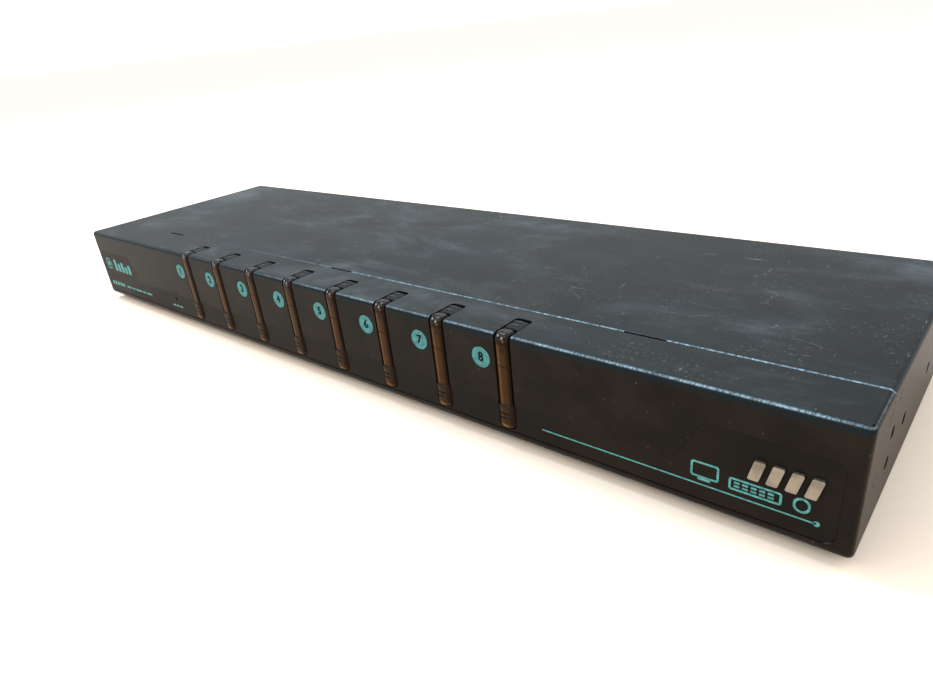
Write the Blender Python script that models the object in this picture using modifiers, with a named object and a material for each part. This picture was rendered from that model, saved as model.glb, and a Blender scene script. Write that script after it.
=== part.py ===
"""Eight-channel keyboard, video and mouse switch in a rack-width steel case.

Metres, +Z up, +X to the right seen from the front, and the front face looks along -Y.
The origin is on the floor, under the middle of the whole assembly.
Places on the case are given from the body's left side, front face and underside.
"""
import math

import bmesh
import bpy
from mathutils import Matrix, Vector

MM = 0.001

# Case
BODY_WIDTH = 440 * MM
BODY_DEPTH = 126 * MM
BODY_HEIGHT = 42 * MM
FOOT_HEIGHT = 3 * MM
SHEET = 1.2 * MM
GAP = 0.3 * MM
LOWER_BEND = 3.5 * MM
UPPER_BEND = 2 * MM
BEND_STEPS = 4
SHELF_DEPTH = 21 * MM
FLANGE_HEIGHT = 11 * MM
REAR_FLANGE_HEIGHT = 8 * MM
TAB_X = (70 * MM, 220 * MM, 370 * MM)
TAB_WIDTH = 14 * MM
TAB_REACH = 6 * MM
TAB_GAP = 0.4 * MM
EAR_HOLES = ((48.8 * MM, 18.9 * MM), (29 * MM, 25.2 * MM), (28.7 * MM, 15.2 * MM), (88 * MM, 17.8 * MM))
EAR_HOLE_RADIUS = 2.2 * MM
CORNER_SLIT = 0.5 * MM
SCREW_X = (0.25 * BODY_WIDTH, 0.75 * BODY_WIDTH)
SCREW_HOLE_RADIUS = 1.7 * MM

# Recess and printed film on the front
RECESS_EDGE = 4.5 * MM
RECESS_LOW = 3.8 * MM
BAND_TOP = 15.3 * MM
PAD_TOP = 30.5 * MM
PAD_TOP_WIDTH = 37 * MM
PAD_FOOT_WIDTH = 45.5 * MM
RECESS_RADII = (3.5 * MM, 4 * MM, 3 * MM)
RECESS_DEPTH = 0.55 * MM
FILM_THICKNESS = 0.3 * MM
FILM_SINK = 0.05 * MM
FILM_CLEARANCE = 0.35 * MM

# Keys
KEY_COUNT = 8
FIRST_KEY_X = 116.3 * MM
KEY_PITCH = 30.3 * MM
KEY_WIDTH = 5.8 * MM
KEY_PROUD = 0.6 * MM
KEY_THICKNESS = 2.4 * MM
KEY_TIP_Z = 5.3 * MM
KEY_CROWN = 1.2 * MM
THUMB_TOP_Z = 14.3 * MM
THUMB_WIDTH = 6.6 * MM
THUMB_PROUD = 1.0 * MM
THUMB_RIBS = 3
RIB_GROOVE = 0.45 * MM
LUG_WIDTH = 9.6 * MM
NUB_SIZE = 3 * MM
SLOT_WIDTH = 7.2 * MM
SLOT_LOW_Z = 4.95 * MM
SLOT_REAR_Y = 14.3 * MM
HINGE_Y = 4.5 * MM
HINGE_Z = 40.7 * MM
HINGE_GAP = 0.8 * MM

# Reset
RESET_X = 92 * MM
RESET_Z = 12.6 * MM
PINHOLE_RADIUS = 1.0 * MM
PLUNGER_RADIUS = 1.2 * MM

# Boards
BOARD_THICKNESS = 1.6 * MM
BOARD_Z = 5 * MM
STANDOFF_X = (20 * MM, 220 * MM, 420 * MM)
STANDOFF_Y = (24 * MM, 90 * MM)
STANDOFF_RADIUS = 3 * MM
KEY_BOARD_Y = 9 * MM
KEY_BOARD_X = (80 * MM, 345 * MM)
LINK_X = (195 * MM, 245 * MM)
CHIP_SIZE = 28 * MM
CHIP_Y = 74 * MM
SWITCH_SIZE = 6 * MM
SWITCH_DEPTH = 3.3 * MM
SWITCH_Z = 10 * MM
LED_Z = 33 * MM

# Rear ports
CHANNELS = ("console",) + tuple(str(number) for number in range(1, KEY_COUNT + 1))
PORT_PITCH = 45.9 * MM
FIRST_VGA_X = 32.4 * MM
PS2_OFFSET = 23 * MM
PANEL_Y = 123.5 * MM
PORT_REACH = 5.9 * MM
VGA_FLANGE = (30.8 * MM, 12.5 * MM)
VGA_HALF_WIDTHS = (7.1 * MM, 8.45 * MM)
VGA_SHELL_HEIGHT = 8.3 * MM
PS2_SIZE = (14 * MM, 25.8 * MM)
PS2_CENTRES = (6.4 * MM, 19.4 * MM)
PS2_RING = 4.75 * MM
PS2_CORE = 3.85 * MM
JACK_X = 11.5 * MM
JACK_SIZE = (9 * MM, 11 * MM)
PORT_FOOT = BOARD_Z + BOARD_THICKNESS + GAP

# Feet
FOOT_RADIUS = 6.5 * MM
FOOT_X = 22 * MM
FOOT_Y = (16 * MM, 108 * MM)

# Where the front face stands, so that the whole assembly is centred front to back
FRONT_Y = -(PANEL_Y + SHEET + PORT_REACH - THUMB_PROUD) / 2

# Name: (red, green, blue), roughness, metallic
FINISHES = {
    "black_steel": ((0.030, 0.032, 0.034), 0.55, 0.2),
    "black_film": ((0.028, 0.026, 0.024), 0.5, 0.0),
    "smoke_amber": ((0.20, 0.085, 0.03), 0.3, 0.0),
    "board_green": ((0.02, 0.12, 0.05), 0.5, 0.0),
    "black_plastic": ((0.02, 0.02, 0.021), 0.45, 0.0),
    "nickel": ((0.62, 0.61, 0.58), 0.3, 1.0),
    "led_clear": ((0.75, 0.75, 0.7), 0.2, 0.0),
    "rubber": ((0.035, 0.035, 0.035), 0.85, 0.0),
}


# ---------------------------------------------------------------- scene and helpers

def clear_scene():
    """Remove every object, and make the two collections."""
    for obj in list(bpy.data.objects):
        bpy.data.objects.remove(obj, do_unlink=True)
    made = []
    for name in ("kvm_switch", "cutters"):
        collection = bpy.data.collections.get(name) or bpy.data.collections.new(name)
        if name not in bpy.context.scene.collection.children:
            bpy.context.scene.collection.children.link(collection)
        made.append(collection)
    return made


PARTS, CUTTERS = clear_scene()


def material(name):
    """One Principled material for each finish."""
    found = bpy.data.materials.get(name)
    if found:
        return found
    colour, roughness, metallic = FINISHES[name]
    made = bpy.data.materials.new(name)
    made.use_nodes = True
    shader = made.node_tree.nodes["Principled BSDF"]
    shader.inputs["Base Color"].default_value = (*colour, 1.0)
    shader.inputs["Roughness"].default_value = roughness
    shader.inputs["Metallic"].default_value = metallic
    made.diffuse_color = (*colour, 1.0)
    return made


def place(x, y, z):
    """World point of a place given from the left side, the front face and the underside."""
    return Vector((x - BODY_WIDTH / 2, y + FRONT_Y, z + FOOT_HEIGHT))


def add_part(name, mesh, location, finish, rotation=(0, 0, 0)):
    """A sub-part of the switch; copies may share the mesh."""
    if not mesh.materials:
        mesh.materials.append(material(finish))
    part = bpy.data.objects.new(name, mesh)
    part.location = location
    part.rotation_euler = rotation
    PARTS.objects.link(part)
    return part


def add_tool(mesh, location, name="tool"):
    """A shape that only cuts or joins a sub-part."""
    tool = bpy.data.objects.new(name, mesh)
    tool.location = location
    tool.hide_render = True
    tool.display_type = "WIRE"
    CUTTERS.objects.link(tool)
    return tool


def combine(part, tool, operation="DIFFERENCE"):
    """Cut the part with the tool, or join the tool to it."""
    step = part.modifiers.new(f"{operation.lower()} {tool.name}", "BOOLEAN")
    step.operation = operation
    step.solver = "EXACT"
    step.object = tool


def baked(part):
    """The part's finished mesh; the part itself is removed."""
    bpy.context.view_layer.update()
    evaluated = part.evaluated_get(bpy.context.evaluated_depsgraph_get())
    mesh = bpy.data.meshes.new_from_object(evaluated)
    bpy.data.objects.remove(part, do_unlink=True)
    return mesh


def box_mesh(size):
    """A box centred on the origin."""
    shape = bmesh.new()
    bmesh.ops.create_cube(shape, size=1)
    bmesh.ops.scale(shape, vec=size, verts=shape.verts)
    return finished(shape, "box")


def finished(shape, name):
    """A mesh from a bmesh, with its faces pointing out."""
    bmesh.ops.recalc_face_normals(shape, faces=shape.faces)
    mesh = bpy.data.meshes.new(name)
    shape.to_mesh(mesh)
    shape.free()
    return mesh


def box_between(low, high):
    """A box mesh and its centre, from two corners given as places on the case."""
    low = place(*low)
    high = place(*high)
    return box_mesh(high - low), (low + high) / 2


def box_part(name, low, high, finish):
    """A sub-part that is a plain box."""
    mesh, centre = box_between(low, high)
    return add_part(name, mesh, centre, finish)


def box_tool(part, low, high, operation="DIFFERENCE"):
    """Cut or join a box."""
    mesh, centre = box_between(low, high)
    combine(part, add_tool(mesh, centre), operation)


def rod_mesh(radius, length, axis, segments=16):
    """A cylinder centred on the origin, along X, Y or Z."""
    shape = bmesh.new()
    bmesh.ops.create_cone(shape, cap_ends=True, segments=segments, radius1=radius, radius2=radius,
                          depth=length)
    turn = {"X": Matrix.Rotation(math.pi / 2, 3, "Y"), "Y": Matrix.Rotation(math.pi / 2, 3, "X"),
            "Z": Matrix.Identity(3)}[axis]
    bmesh.ops.transform(shape, matrix=turn.to_4x4(), verts=shape.verts)
    return finished(shape, "rod")


def rod_tool(part, radius, centre, length, axis, operation="DIFFERENCE", segments=16):
    """Cut or join a cylinder whose centre is a place on the case."""
    combine(part, add_tool(rod_mesh(radius, length, axis, segments), place(*centre)), operation)


def arc(centre, radius, start, end, steps=BEND_STEPS):
    """Points on an arc; the angles are in degrees."""
    points = []
    for step in range(steps + 1):
        angle = math.radians(start + (end - start) * step / steps)
        points.append((centre[0] + radius * math.cos(angle), centre[1] + radius * math.sin(angle)))
    return points


def rounded(corners, radii, steps=3):
    """A closed outline whose corners are rounded with the given radii."""
    points = []
    for index, corner in enumerate(corners):
        here = Vector(corner)
        before = (Vector(corners[index - 1]) - here).normalized()
        after = (Vector(corners[(index + 1) % len(corners)]) - here).normalized()
        half = before.angle(after) / 2
        reach = radii[index] / math.tan(half)
        first = here + before * reach
        last = here + after * reach
        centre = here + (before + after).normalized() * (radii[index] / math.sin(half))
        for step in range(steps + 1):
            spoke = (first - centre).lerp(last - centre, step / steps).normalized() * radii[index]
            points.append(tuple(centre + spoke))
    return points


def slab_mesh(outline, thickness, plane):
    """A flat outline given a thickness, as one closed mesh centred on its plane.

    The plane "XZ" faces front and back, and "YZ" faces the sides.
    """
    curve = bpy.data.curves.new("outline", "CURVE")
    curve.dimensions = "2D"
    curve.fill_mode = "BOTH"
    curve.extrude = thickness / 2
    spline = curve.splines.new("POLY")
    spline.points.add(len(outline) - 1)
    for point, (across, up) in zip(spline.points, outline):
        point.co = (across, up, 0, 1)
    spline.use_cyclic_u = True
    holder = bpy.data.objects.new("outline", curve)
    CUTTERS.objects.link(holder)
    mesh = baked(holder)
    shape = bmesh.new()
    shape.from_mesh(mesh)
    bmesh.ops.remove_doubles(shape, verts=shape.verts, dist=0.00001)
    turn = Matrix.Rotation(math.pi / 2, 3, "X")
    if plane == "YZ":
        turn = Matrix.Rotation(math.pi / 2, 3, "Z") @ turn
    bmesh.ops.transform(shape, matrix=turn.to_4x4(), verts=shape.verts)
    return finished(shape, "slab")


def turned_part(name, profile, location, finish, rotation=(0, 0, 0), steps=16):
    """A turned piece: (radius, height) points from top to bottom, spun about its own Z."""
    mesh = bpy.data.meshes.new("profile")
    mesh.from_pydata([(radius, 0, height) for radius, height in profile],
                     [(index, index + 1) for index in range(len(profile) - 1)], [])
    part = add_part(name, mesh, location, finish, rotation)
    spin = part.modifiers.new("spin", "SCREW")
    spin.steps = steps
    spin.render_steps = steps
    spin.use_merge_vertices = True
    spin.merge_threshold = 0.00001
    return part


# ---------------------------------------------------------------- steel case

def side_outline(inset, shelf_end, wall_top):
    """The tray from the side: floor, rounded front wall, top shelf, and the side walls' top edge."""
    rear = PANEL_Y + SHEET + inset
    low = LOWER_BEND - inset
    high = UPPER_BEND - inset
    outline = [(rear, inset)]
    outline += arc((LOWER_BEND, LOWER_BEND), low, 270, 180)
    outline += arc((UPPER_BEND, BODY_HEIGHT - UPPER_BEND), high, 180, 90)
    outline += [(shelf_end, BODY_HEIGHT - inset), (shelf_end, wall_top), (rear, wall_top)]
    return outline


def recess_outline(inset):
    """The long low band with a taller pad at each end, drawn in by the inset."""
    left = RECESS_EDGE + inset
    low = RECESS_LOW + inset
    band = BAND_TOP - inset
    pad = PAD_TOP - inset
    pad_top = RECESS_EDGE + PAD_TOP_WIDTH - inset
    pad_foot = RECESS_EDGE + PAD_FOOT_WIDTH - inset
    left_half = [(pad_foot, band), (pad_top, pad), (left, pad), (left, low)]
    right_half = [(BODY_WIDTH - x, z) for x, z in reversed(left_half)]
    low_radius, top_radius, step_radius = RECESS_RADII
    left_radii = [step_radius, step_radius, top_radius, low_radius]
    return rounded(left_half + right_half, left_radii + left_radii[::-1])


def key_x(number):
    """Middle of a key, from the left side."""
    return FIRST_KEY_X + (number - 1) * KEY_PITCH


def make_chassis():
    """Floor, front wall, shelf and side walls, folded from one sheet."""
    lap_z = BODY_HEIGHT - FLANGE_HEIGHT
    outside = side_outline(0, SHELF_DEPTH, lap_z)
    inside = side_outline(SHEET, SHELF_DEPTH + SHEET, BODY_HEIGHT + SHEET)
    middle = place(BODY_WIDTH / 2, 0, 0)
    chassis = add_part("chassis", slab_mesh(outside, BODY_WIDTH, "YZ"), middle, "black_steel")
    combine(chassis, add_tool(slab_mesh(inside, BODY_WIDTH - 2 * SHEET, "YZ"), middle))
    for side in (-1, 1):
        finish_side_wall(chassis, side, lap_z)
    for x in STANDOFF_X:
        for y in STANDOFF_Y:
            top = BOARD_Z - GAP
            middle_z = (top + SHEET / 2) / 2
            rod_tool(chassis, STANDOFF_RADIUS, (x, y, middle_z), top - SHEET / 2, "Z", "UNION", 10)
    combine(chassis, add_tool(slab_mesh(recess_outline(0), 2 * RECESS_DEPTH, "XZ"), place(0, 0, 0)))
    above = BODY_HEIGHT + MM
    for number in range(1, KEY_COUNT + 1):
        low = key_x(number) - SLOT_WIDTH / 2
        high = key_x(number) + SLOT_WIDTH / 2
        box_tool(chassis, (low, -2 * MM, SLOT_LOW_Z), (high, UPPER_BEND, above))
        box_tool(chassis, (low, -2 * MM, BODY_HEIGHT - 2 * UPPER_BEND), (high, SLOT_REAR_Y, above))
    rod_tool(chassis, PINHOLE_RADIUS, (RESET_X, 0, RESET_Z), 4 * SHEET, "Y", segments=12)


def finish_side_wall(chassis, side, lap_z):
    """Step a side wall's top in for the lid's flange, part it from the shelf, and drill it."""
    def wall_x(depth):
        return BODY_WIDTH / 2 + side * (BODY_WIDTH / 2 - depth)

    lap_inner = 2 * SHEET + GAP
    foot = (SHEET / 2, lap_inner - 0.1 * MM, lap_z - 3 * MM, lap_z - GAP, 2 * MM)
    lap = (SHEET + GAP, lap_inner, lap_z - 2 * MM, BODY_HEIGHT - SHEET - GAP, MM)
    for outer, inner, low, high, ahead in (foot, lap):
        near, far = sorted((wall_x(outer), wall_x(inner)))
        box_tool(chassis, (near, SHELF_DEPTH - ahead, low), (far, PANEL_Y - ahead, high), "UNION")
    near, far = sorted((wall_x(SHEET), wall_x(SHEET + CORNER_SLIT)))
    box_tool(chassis, (near, UPPER_BEND, BODY_HEIGHT - 2 * SHEET), (far, SHELF_DEPTH + MM, BODY_HEIGHT + MM))
    relief = (wall_x(SHEET + 0.8 * CORNER_SLIT), UPPER_BEND, BODY_HEIGHT)
    rod_tool(chassis, MM, relief, 4 * SHEET, "Z", segments=10)
    for y, z in EAR_HOLES:
        rod_tool(chassis, EAR_HOLE_RADIUS, (wall_x(SHEET / 2), y, z), 3 * SHEET, "X", segments=14)


def lid_outline(inset, low):
    """The lid from the front: a flat top with a bent flange down each side."""
    bend = UPPER_BEND
    outline = [(BODY_WIDTH - inset, low)]
    outline += arc((BODY_WIDTH - bend, BODY_HEIGHT - bend), bend - inset, 0, 90)
    outline += arc((bend, BODY_HEIGHT - bend), bend - inset, 90, 180)
    outline.append((inset, low))
    return outline


def make_cover():
    """The lid: short side flanges, a rear flange, and three tabs that hook under the shelf."""
    front = SHELF_DEPTH + GAP
    rear = BODY_DEPTH
    outside = lid_outline(0, BODY_HEIGHT - FLANGE_HEIGHT)
    inside = lid_outline(SHEET, BODY_HEIGHT - FLANGE_HEIGHT - SHEET)
    cover = add_part("top_cover", slab_mesh(outside, rear - front, "XZ"), place(0, (front + rear) / 2, 0),
                     "black_steel")
    combine(cover, add_tool(slab_mesh(inside, rear - front, "XZ"), place(0, (front + rear) / 2 - SHEET, 0)))
    flange_edge = 3 * SHEET
    box_tool(cover, (flange_edge, rear - 2 * SHEET, BODY_HEIGHT - FLANGE_HEIGHT - MM),
             (BODY_WIDTH - flange_edge, rear + SHEET, BODY_HEIGHT - REAR_FLANGE_HEIGHT))
    tab_top = BODY_HEIGHT - SHEET - TAB_GAP
    for x in TAB_X:
        low = x - TAB_WIDTH / 2
        high = x + TAB_WIDTH / 2
        notch = (low - GAP, front - GAP, BODY_HEIGHT - 2 * SHEET)
        box_tool(cover, notch, (high + GAP, front + SHEET, BODY_HEIGHT + MM))
        tongue = (low, SHELF_DEPTH - TAB_REACH, tab_top - SHEET)
        box_tool(cover, tongue, (high, front + 4 * MM, tab_top), "UNION")
        joggle = (low, front + SHEET + GAP, tab_top - SHEET / 2)
        box_tool(cover, joggle, (high, front + 3.5 * MM, BODY_HEIGHT - SHEET / 2), "UNION")
    for x in SCREW_X:
        hole = (x, rear, BODY_HEIGHT - REAR_FLANGE_HEIGHT / 2)
        rod_tool(cover, SCREW_HOLE_RADIUS, hole, 4 * SHEET, "Y", segments=12)


def make_overlay():
    """The printed film, with a notch for each key and a hole for the reset pin."""
    middle = FILM_SINK + FILM_THICKNESS / 2
    mesh = slab_mesh(recess_outline(FILM_CLEARANCE), FILM_THICKNESS, "XZ")
    film = add_part("front_overlay", mesh, place(0, middle, 0), "black_film")
    for number in range(1, KEY_COUNT + 1):
        low = key_x(number) - SLOT_WIDTH / 2 - GAP / 2
        high = key_x(number) + SLOT_WIDTH / 2 + GAP / 2
        box_tool(film, (low, -MM, SLOT_LOW_Z), (high, 2 * MM, BAND_TOP + MM))
    rod_tool(film, PINHOLE_RADIUS + 0.2 * MM, (RESET_X, 0, RESET_Z), 4 * SHEET, "Y", segments=12)


# ---------------------------------------------------------------- keys

def key_outline():
    """The key's strip from the side: up the front, over the edge and back to the hinge groove."""
    corner = (UPPER_BEND, BODY_HEIGHT - UPPER_BEND)
    outer = UPPER_BEND + KEY_PROUD
    inner = outer - KEY_THICKNESS
    low = (KEY_TIP_Z + THUMB_TOP_Z) / 2
    rear = HINGE_Y - HINGE_GAP / 2
    points = [(corner[0] - inner, low)] + arc(corner, outer, 180, 90, 5)
    points.insert(1, (corner[0] - outer, low))
    points += [(rear, corner[1] + outer), (rear, corner[1] + inner)]
    return points + arc(corner, inner, 90, 180, 2)


def thumb_outline():
    """The ribbed thumb end from the side."""
    back = KEY_THICKNESS - KEY_PROUD - 0.1 * MM
    points = [(back, KEY_TIP_Z + 0.6 * MM), (back - 0.6 * MM, KEY_TIP_Z)]
    tip = THUMB_PROUD + 0.3 * MM
    points += arc((0.3 * MM, KEY_TIP_Z + tip), tip, 270, 180, 3)
    first = KEY_TIP_Z + tip + 0.3 * MM
    pitch = (THUMB_TOP_Z - first) / THUMB_RIBS
    for rib in range(THUMB_RIBS):
        low = first + rib * pitch
        points.append((-THUMB_PROUD + RIB_GROOVE, low + 0.25 * pitch))
        points += [(-THUMB_PROUD, low + share * pitch) for share in (0.55, 0.9)]
    points += [(0, THUMB_TOP_Z), (back, THUMB_TOP_Z)]
    return points


def on_crown(edge):
    """Whether an edge runs along one side of the strip's outer face."""
    first, last = (vert.co for vert in edge.verts)
    outer_z = BODY_HEIGHT - UPPER_BEND + KEY_PROUD
    outside = all(co.y < -KEY_PROUD / 2 or co.z > outer_z for co in (first, last))
    level = abs(first.z - last.z) < 0.01 * MM and first.z < THUMB_TOP_Z
    upright = abs(first.y - last.y) < 0.01 * MM and first.y > UPPER_BEND + MM
    return outside and first.x == last.x and not level and not upright


def key_mesh():
    """One key about its hinge axis, with its crowned face, stop lug and switch nub."""
    strip = bmesh.new()
    strip.from_mesh(slab_mesh(key_outline(), KEY_WIDTH, "YZ"))
    crown = [edge for edge in strip.edges if on_crown(edge)]
    bmesh.ops.bevel(strip, geom=crown, offset=KEY_CROWN, segments=3, profile=0.5, affect="EDGES")
    key = add_part("key", finished(strip, "key"), place(0, 0, 0), "smoke_amber")
    combine(key, add_tool(slab_mesh(thumb_outline(), THUMB_WIDTH, "YZ"), place(0, 0, 0)), "UNION")
    back = KEY_THICKNESS - KEY_PROUD
    lug = LUG_WIDTH / 2
    box_tool(key, (-lug, SHEET + GAP, 18 * MM), (lug, back + 0.2 * MM, 20 * MM), "UNION")
    nub = NUB_SIZE / 2
    box_tool(key, (-nub, back - GAP, SWITCH_Z - nub), (nub, back + 1.2 * MM, SWITCH_Z + nub), "UNION")
    mesh = baked(key)
    mesh.transform(Matrix.Translation(-Vector((0, HINGE_Y, HINGE_Z))))
    return mesh


def make_keys():
    """Eight keys, each with its origin on its hinge axis."""
    mesh = key_mesh()
    for number in range(1, KEY_COUNT + 1):
        add_part(f"key_{number}", mesh, place(key_x(number), HINGE_Y, HINGE_Z), "smoke_amber")


def make_key_carrier():
    """The rail under the shelf, with the fixed rear end of each key standing in its slot."""
    rail_low = 38.2 * MM
    rail_high = BODY_HEIGHT - SHEET - 0.4 * MM
    carrier = box_part("key_carrier", (key_x(1) - 8 * MM, 6.5 * MM, rail_low),
                       (key_x(KEY_COUNT) + 8 * MM, SLOT_REAR_Y, rail_high), "smoke_amber")
    front = HINGE_Y + HINGE_GAP / 2
    rear = SLOT_REAR_Y - 0.8 * MM
    top = BODY_HEIGHT + 0.3 * MM
    outline = [(front, rail_low + 1.5 * MM), (rear, rail_low + 1.5 * MM), (rear, BODY_HEIGHT - 0.9 * MM),
               (rear - 1.2 * MM, top - 0.3 * MM)]
    for rib in (11.8 * MM, 8.8 * MM):
        outline += [(rib + 0.5 * MM, top - 0.3 * MM), (rib, top), (rib - 0.5 * MM, top - 0.3 * MM)]
    outline.append((front, top - 0.3 * MM))
    tail = slab_mesh(outline, KEY_WIDTH, "YZ")
    for number in range(1, KEY_COUNT + 1):
        combine(carrier, add_tool(tail, place(key_x(number), 0, 0)), "UNION")


# ---------------------------------------------------------------- inside

def make_boards():
    """Main board on the floor, key board behind the front wall, and the header that joins them."""
    board_top = BOARD_Z + BOARD_THICKNESS
    side = 6 * MM
    low = (side, 14 * MM, BOARD_Z)
    box_part("main_board", low, (BODY_WIDTH - side, PANEL_Y - 2 * MM, board_top), "board_green")
    key_board_back = KEY_BOARD_Y + BOARD_THICKNESS
    left, right = KEY_BOARD_X
    box_part("key_board", (left, KEY_BOARD_Y, 3 * MM), (right, key_board_back, 36 * MM), "board_green")
    left, right = LINK_X
    foot = board_top + GAP
    link_back = (right, 17 * MM, foot + 2.5 * MM)
    link = box_part("board_link", (left, key_board_back + GAP, foot), link_back, "black_plastic")
    box_tool(link, (left + 2 * MM, 15 * MM, foot + 1.3 * MM), (right - 2 * MM, 18 * MM, foot + 4 * MM))
    chip = CHIP_SIZE / 2
    middle = BODY_WIDTH / 2
    chip_top = (middle + chip, CHIP_Y + chip, foot + 2.7 * MM)
    box_part("controller_chip", (middle - chip, CHIP_Y - chip, foot), chip_top, "black_plastic")


def switch_mesh(with_bore):
    """A square push switch facing the front: housing and plunger, or housing and plunger bore."""
    housing_mesh = box_mesh((SWITCH_SIZE, SWITCH_DEPTH, SWITCH_SIZE))
    housing = add_part("switch", housing_mesh, Vector((0, 0, 0)), "black_plastic")
    if with_bore:
        bore = rod_mesh(PLUNGER_RADIUS + GAP, SWITCH_DEPTH, "Y", 14)
        combine(housing, add_tool(bore, Vector((0, -2 * GAP, 0))))
    else:
        button = rod_mesh(1.7 * MM, 2.5 * MM, "Y", 12)
        combine(housing, add_tool(button, Vector((0, -SWITCH_DEPTH / 2, 0))), "UNION")
    return baked(housing)


def make_switches():
    """A push switch and a lamp behind each key, and the reset switch with its loose plunger."""
    facing_front = (math.pi / 2, 0, 0)
    mesh = switch_mesh(False)
    switch_y = KEY_BOARD_Y - GAP - SWITCH_DEPTH / 2
    lamp_y = KEY_BOARD_Y - GAP
    lens, rim = 1.5 * MM, 1.9 * MM
    lamp = [(0, 4 * MM), (0.6 * lens, 3.7 * MM), (lens, 2.7 * MM), (lens, MM), (rim, MM), (rim, 0), (0, 0)]
    for number in range(1, KEY_COUNT + 1):
        x = key_x(number)
        add_part(f"key_switch_{number}", mesh, place(x, switch_y, SWITCH_Z), "black_plastic")
        turned_part(f"key_led_{number}", lamp, place(x, lamp_y, LED_Z), "led_clear", facing_front, 10)
    add_part("reset_switch", switch_mesh(True), place(RESET_X, switch_y, RESET_Z), "black_plastic")
    radius, length = PLUNGER_RADIUS, 4.2 * MM
    plunger = [(0, length), (radius - GAP, length), (radius, length - GAP), (radius, 0), (0, 0)]
    rear_end = place(RESET_X, KEY_BOARD_Y - 1.8 * MM, RESET_Z)
    turned_part("reset_plunger", plunger, rear_end, "nickel", facing_front, 14)


# ---------------------------------------------------------------- rear

def vga_x(index):
    """Middle of a channel's video connector."""
    return FIRST_VGA_X + index * PORT_PITCH


def vga_z():
    """Height of the video connectors' middle line."""
    return PORT_FOOT + VGA_FLANGE[1] / 2


def shell_outline(grow):
    """The D shape of a video connector, seen from behind, grown by an amount all round."""
    low, high = VGA_HALF_WIDTHS
    half = VGA_SHELL_HEIGHT / 2 + grow
    corners = [(-low - grow, -half), (low + grow, -half), (high + grow, half), (-high - grow, half)]
    return rounded(corners, [2.2 * MM + grow] * 4)


def vga_mesh():
    """A board-mounted 15-way socket with its flange and D-shaped shell, from the panel's inner face."""
    width, height = VGA_FLANGE
    centre = Vector((0, -6.8 * MM, 0))
    housing = add_part("vga", box_mesh((25.4 * MM, 12 * MM, height)), centre, "nickel")
    flange = box_mesh((width, 3 * GAP, height))
    combine(housing, add_tool(flange, Vector((0, -2.5 * GAP, 0))), "UNION")
    reach = SHEET + PORT_REACH
    shell = slab_mesh(shell_outline(0), reach + MM, "XZ")
    combine(housing, add_tool(shell, Vector((0, (reach - MM) / 2, 0))), "UNION")
    mesh = baked(housing)
    mesh.transform(Matrix.Translation(centre))
    return mesh


def ps2_mesh():
    """Two round sockets in one block, from the panel's inner face and the block's foot."""
    width, height = PS2_SIZE
    proud = SHEET + 0.8 * MM
    length = 13 * MM + proud
    centre = Vector((0, proud - length / 2, height / 2))
    block = add_part("ps2", box_mesh((width, length, height)), centre, "black_plastic")
    for z in PS2_CENTRES:
        combine(block, add_tool(rod_mesh(PS2_RING, 12 * MM, "Y", 18), Vector((0, proud, z))))
        core = rod_mesh(PS2_CORE, 8 * MM, "Y", 18)
        combine(block, add_tool(core, Vector((0, proud - 4.4 * MM, z))), "UNION")
    mesh = baked(block)
    mesh.transform(Matrix.Translation(centre))
    return mesh


def make_rear_panel():
    """The rear wall with its cut-outs, stepped in where the side walls' laps stand."""
    low = SHEET + GAP
    top = BODY_HEIGHT - SHEET - GAP
    step_z = BODY_HEIGHT - FLANGE_HEIGHT - 3 * MM - GAP
    wide = SHEET + GAP
    narrow = 2 * wide
    left_half = [(narrow, top), (narrow, step_z), (wide, step_z), (wide, low)]
    right_half = [(BODY_WIDTH - x, z) for x, z in reversed(left_half)]
    mesh = slab_mesh(left_half + right_half, SHEET, "XZ")
    panel = add_part("rear_panel", mesh, place(0, PANEL_Y + SHEET / 2, 0), "black_steel")
    edge = narrow + 6 * MM
    fold = (edge, PANEL_Y - 9 * MM, top - SHEET)
    box_tool(panel, fold, (BODY_WIDTH - edge, PANEL_Y + SHEET / 2, top), "UNION")
    opening = slab_mesh(shell_outline(0.5 * MM), 4 * SHEET, "XZ")
    for index in range(len(CHANNELS)):
        combine(panel, add_tool(opening, place(vga_x(index), PANEL_Y, vga_z())))
        cut_window(panel, vga_x(index) + PS2_OFFSET, *PS2_SIZE)
    cut_window(panel, JACK_X, *JACK_SIZE)
    for x in SCREW_X:
        hole = (x, PANEL_Y, BODY_HEIGHT - REAR_FLANGE_HEIGHT / 2)
        rod_tool(panel, SCREW_HOLE_RADIUS, hole, 4 * SHEET, "Y", segments=12)


def cut_window(panel, x, width, height):
    """A rectangular opening that clears a socket standing on the board."""
    half = width / 2 + GAP
    top = PORT_FOOT + height + GAP
    box_tool(panel, (x - half, PANEL_Y - MM, PORT_FOOT - GAP), (x + half, BODY_DEPTH, top))


def make_ports():
    """Video and double round sockets for the console and each channel, and the power jack."""
    vga = vga_mesh()
    ps2 = ps2_mesh()
    for index, channel in enumerate(CHANNELS):
        x = vga_x(index)
        add_part(f"vga_port_{channel}", vga, place(x, PANEL_Y, vga_z()), "nickel")
        add_part(f"ps2_port_{channel}", ps2, place(x + PS2_OFFSET, PANEL_Y, PORT_FOOT), "black_plastic")
    width, height = JACK_SIZE
    front = PANEL_Y + 2 * MM
    low = (JACK_X - width / 2, PANEL_Y - 11 * MM, PORT_FOOT)
    jack = box_part("dc_jack", low, (JACK_X + width / 2, front, PORT_FOOT + height), "black_plastic")
    centre = PORT_FOOT + height / 2
    rod_tool(jack, 3.2 * MM, (JACK_X, front, centre), 18 * MM, "Y", segments=18)
    rod_tool(jack, 1.05 * MM, (JACK_X, PANEL_Y - 4.5 * MM, centre), 11 * MM, "Y", "UNION", 10)


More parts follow.
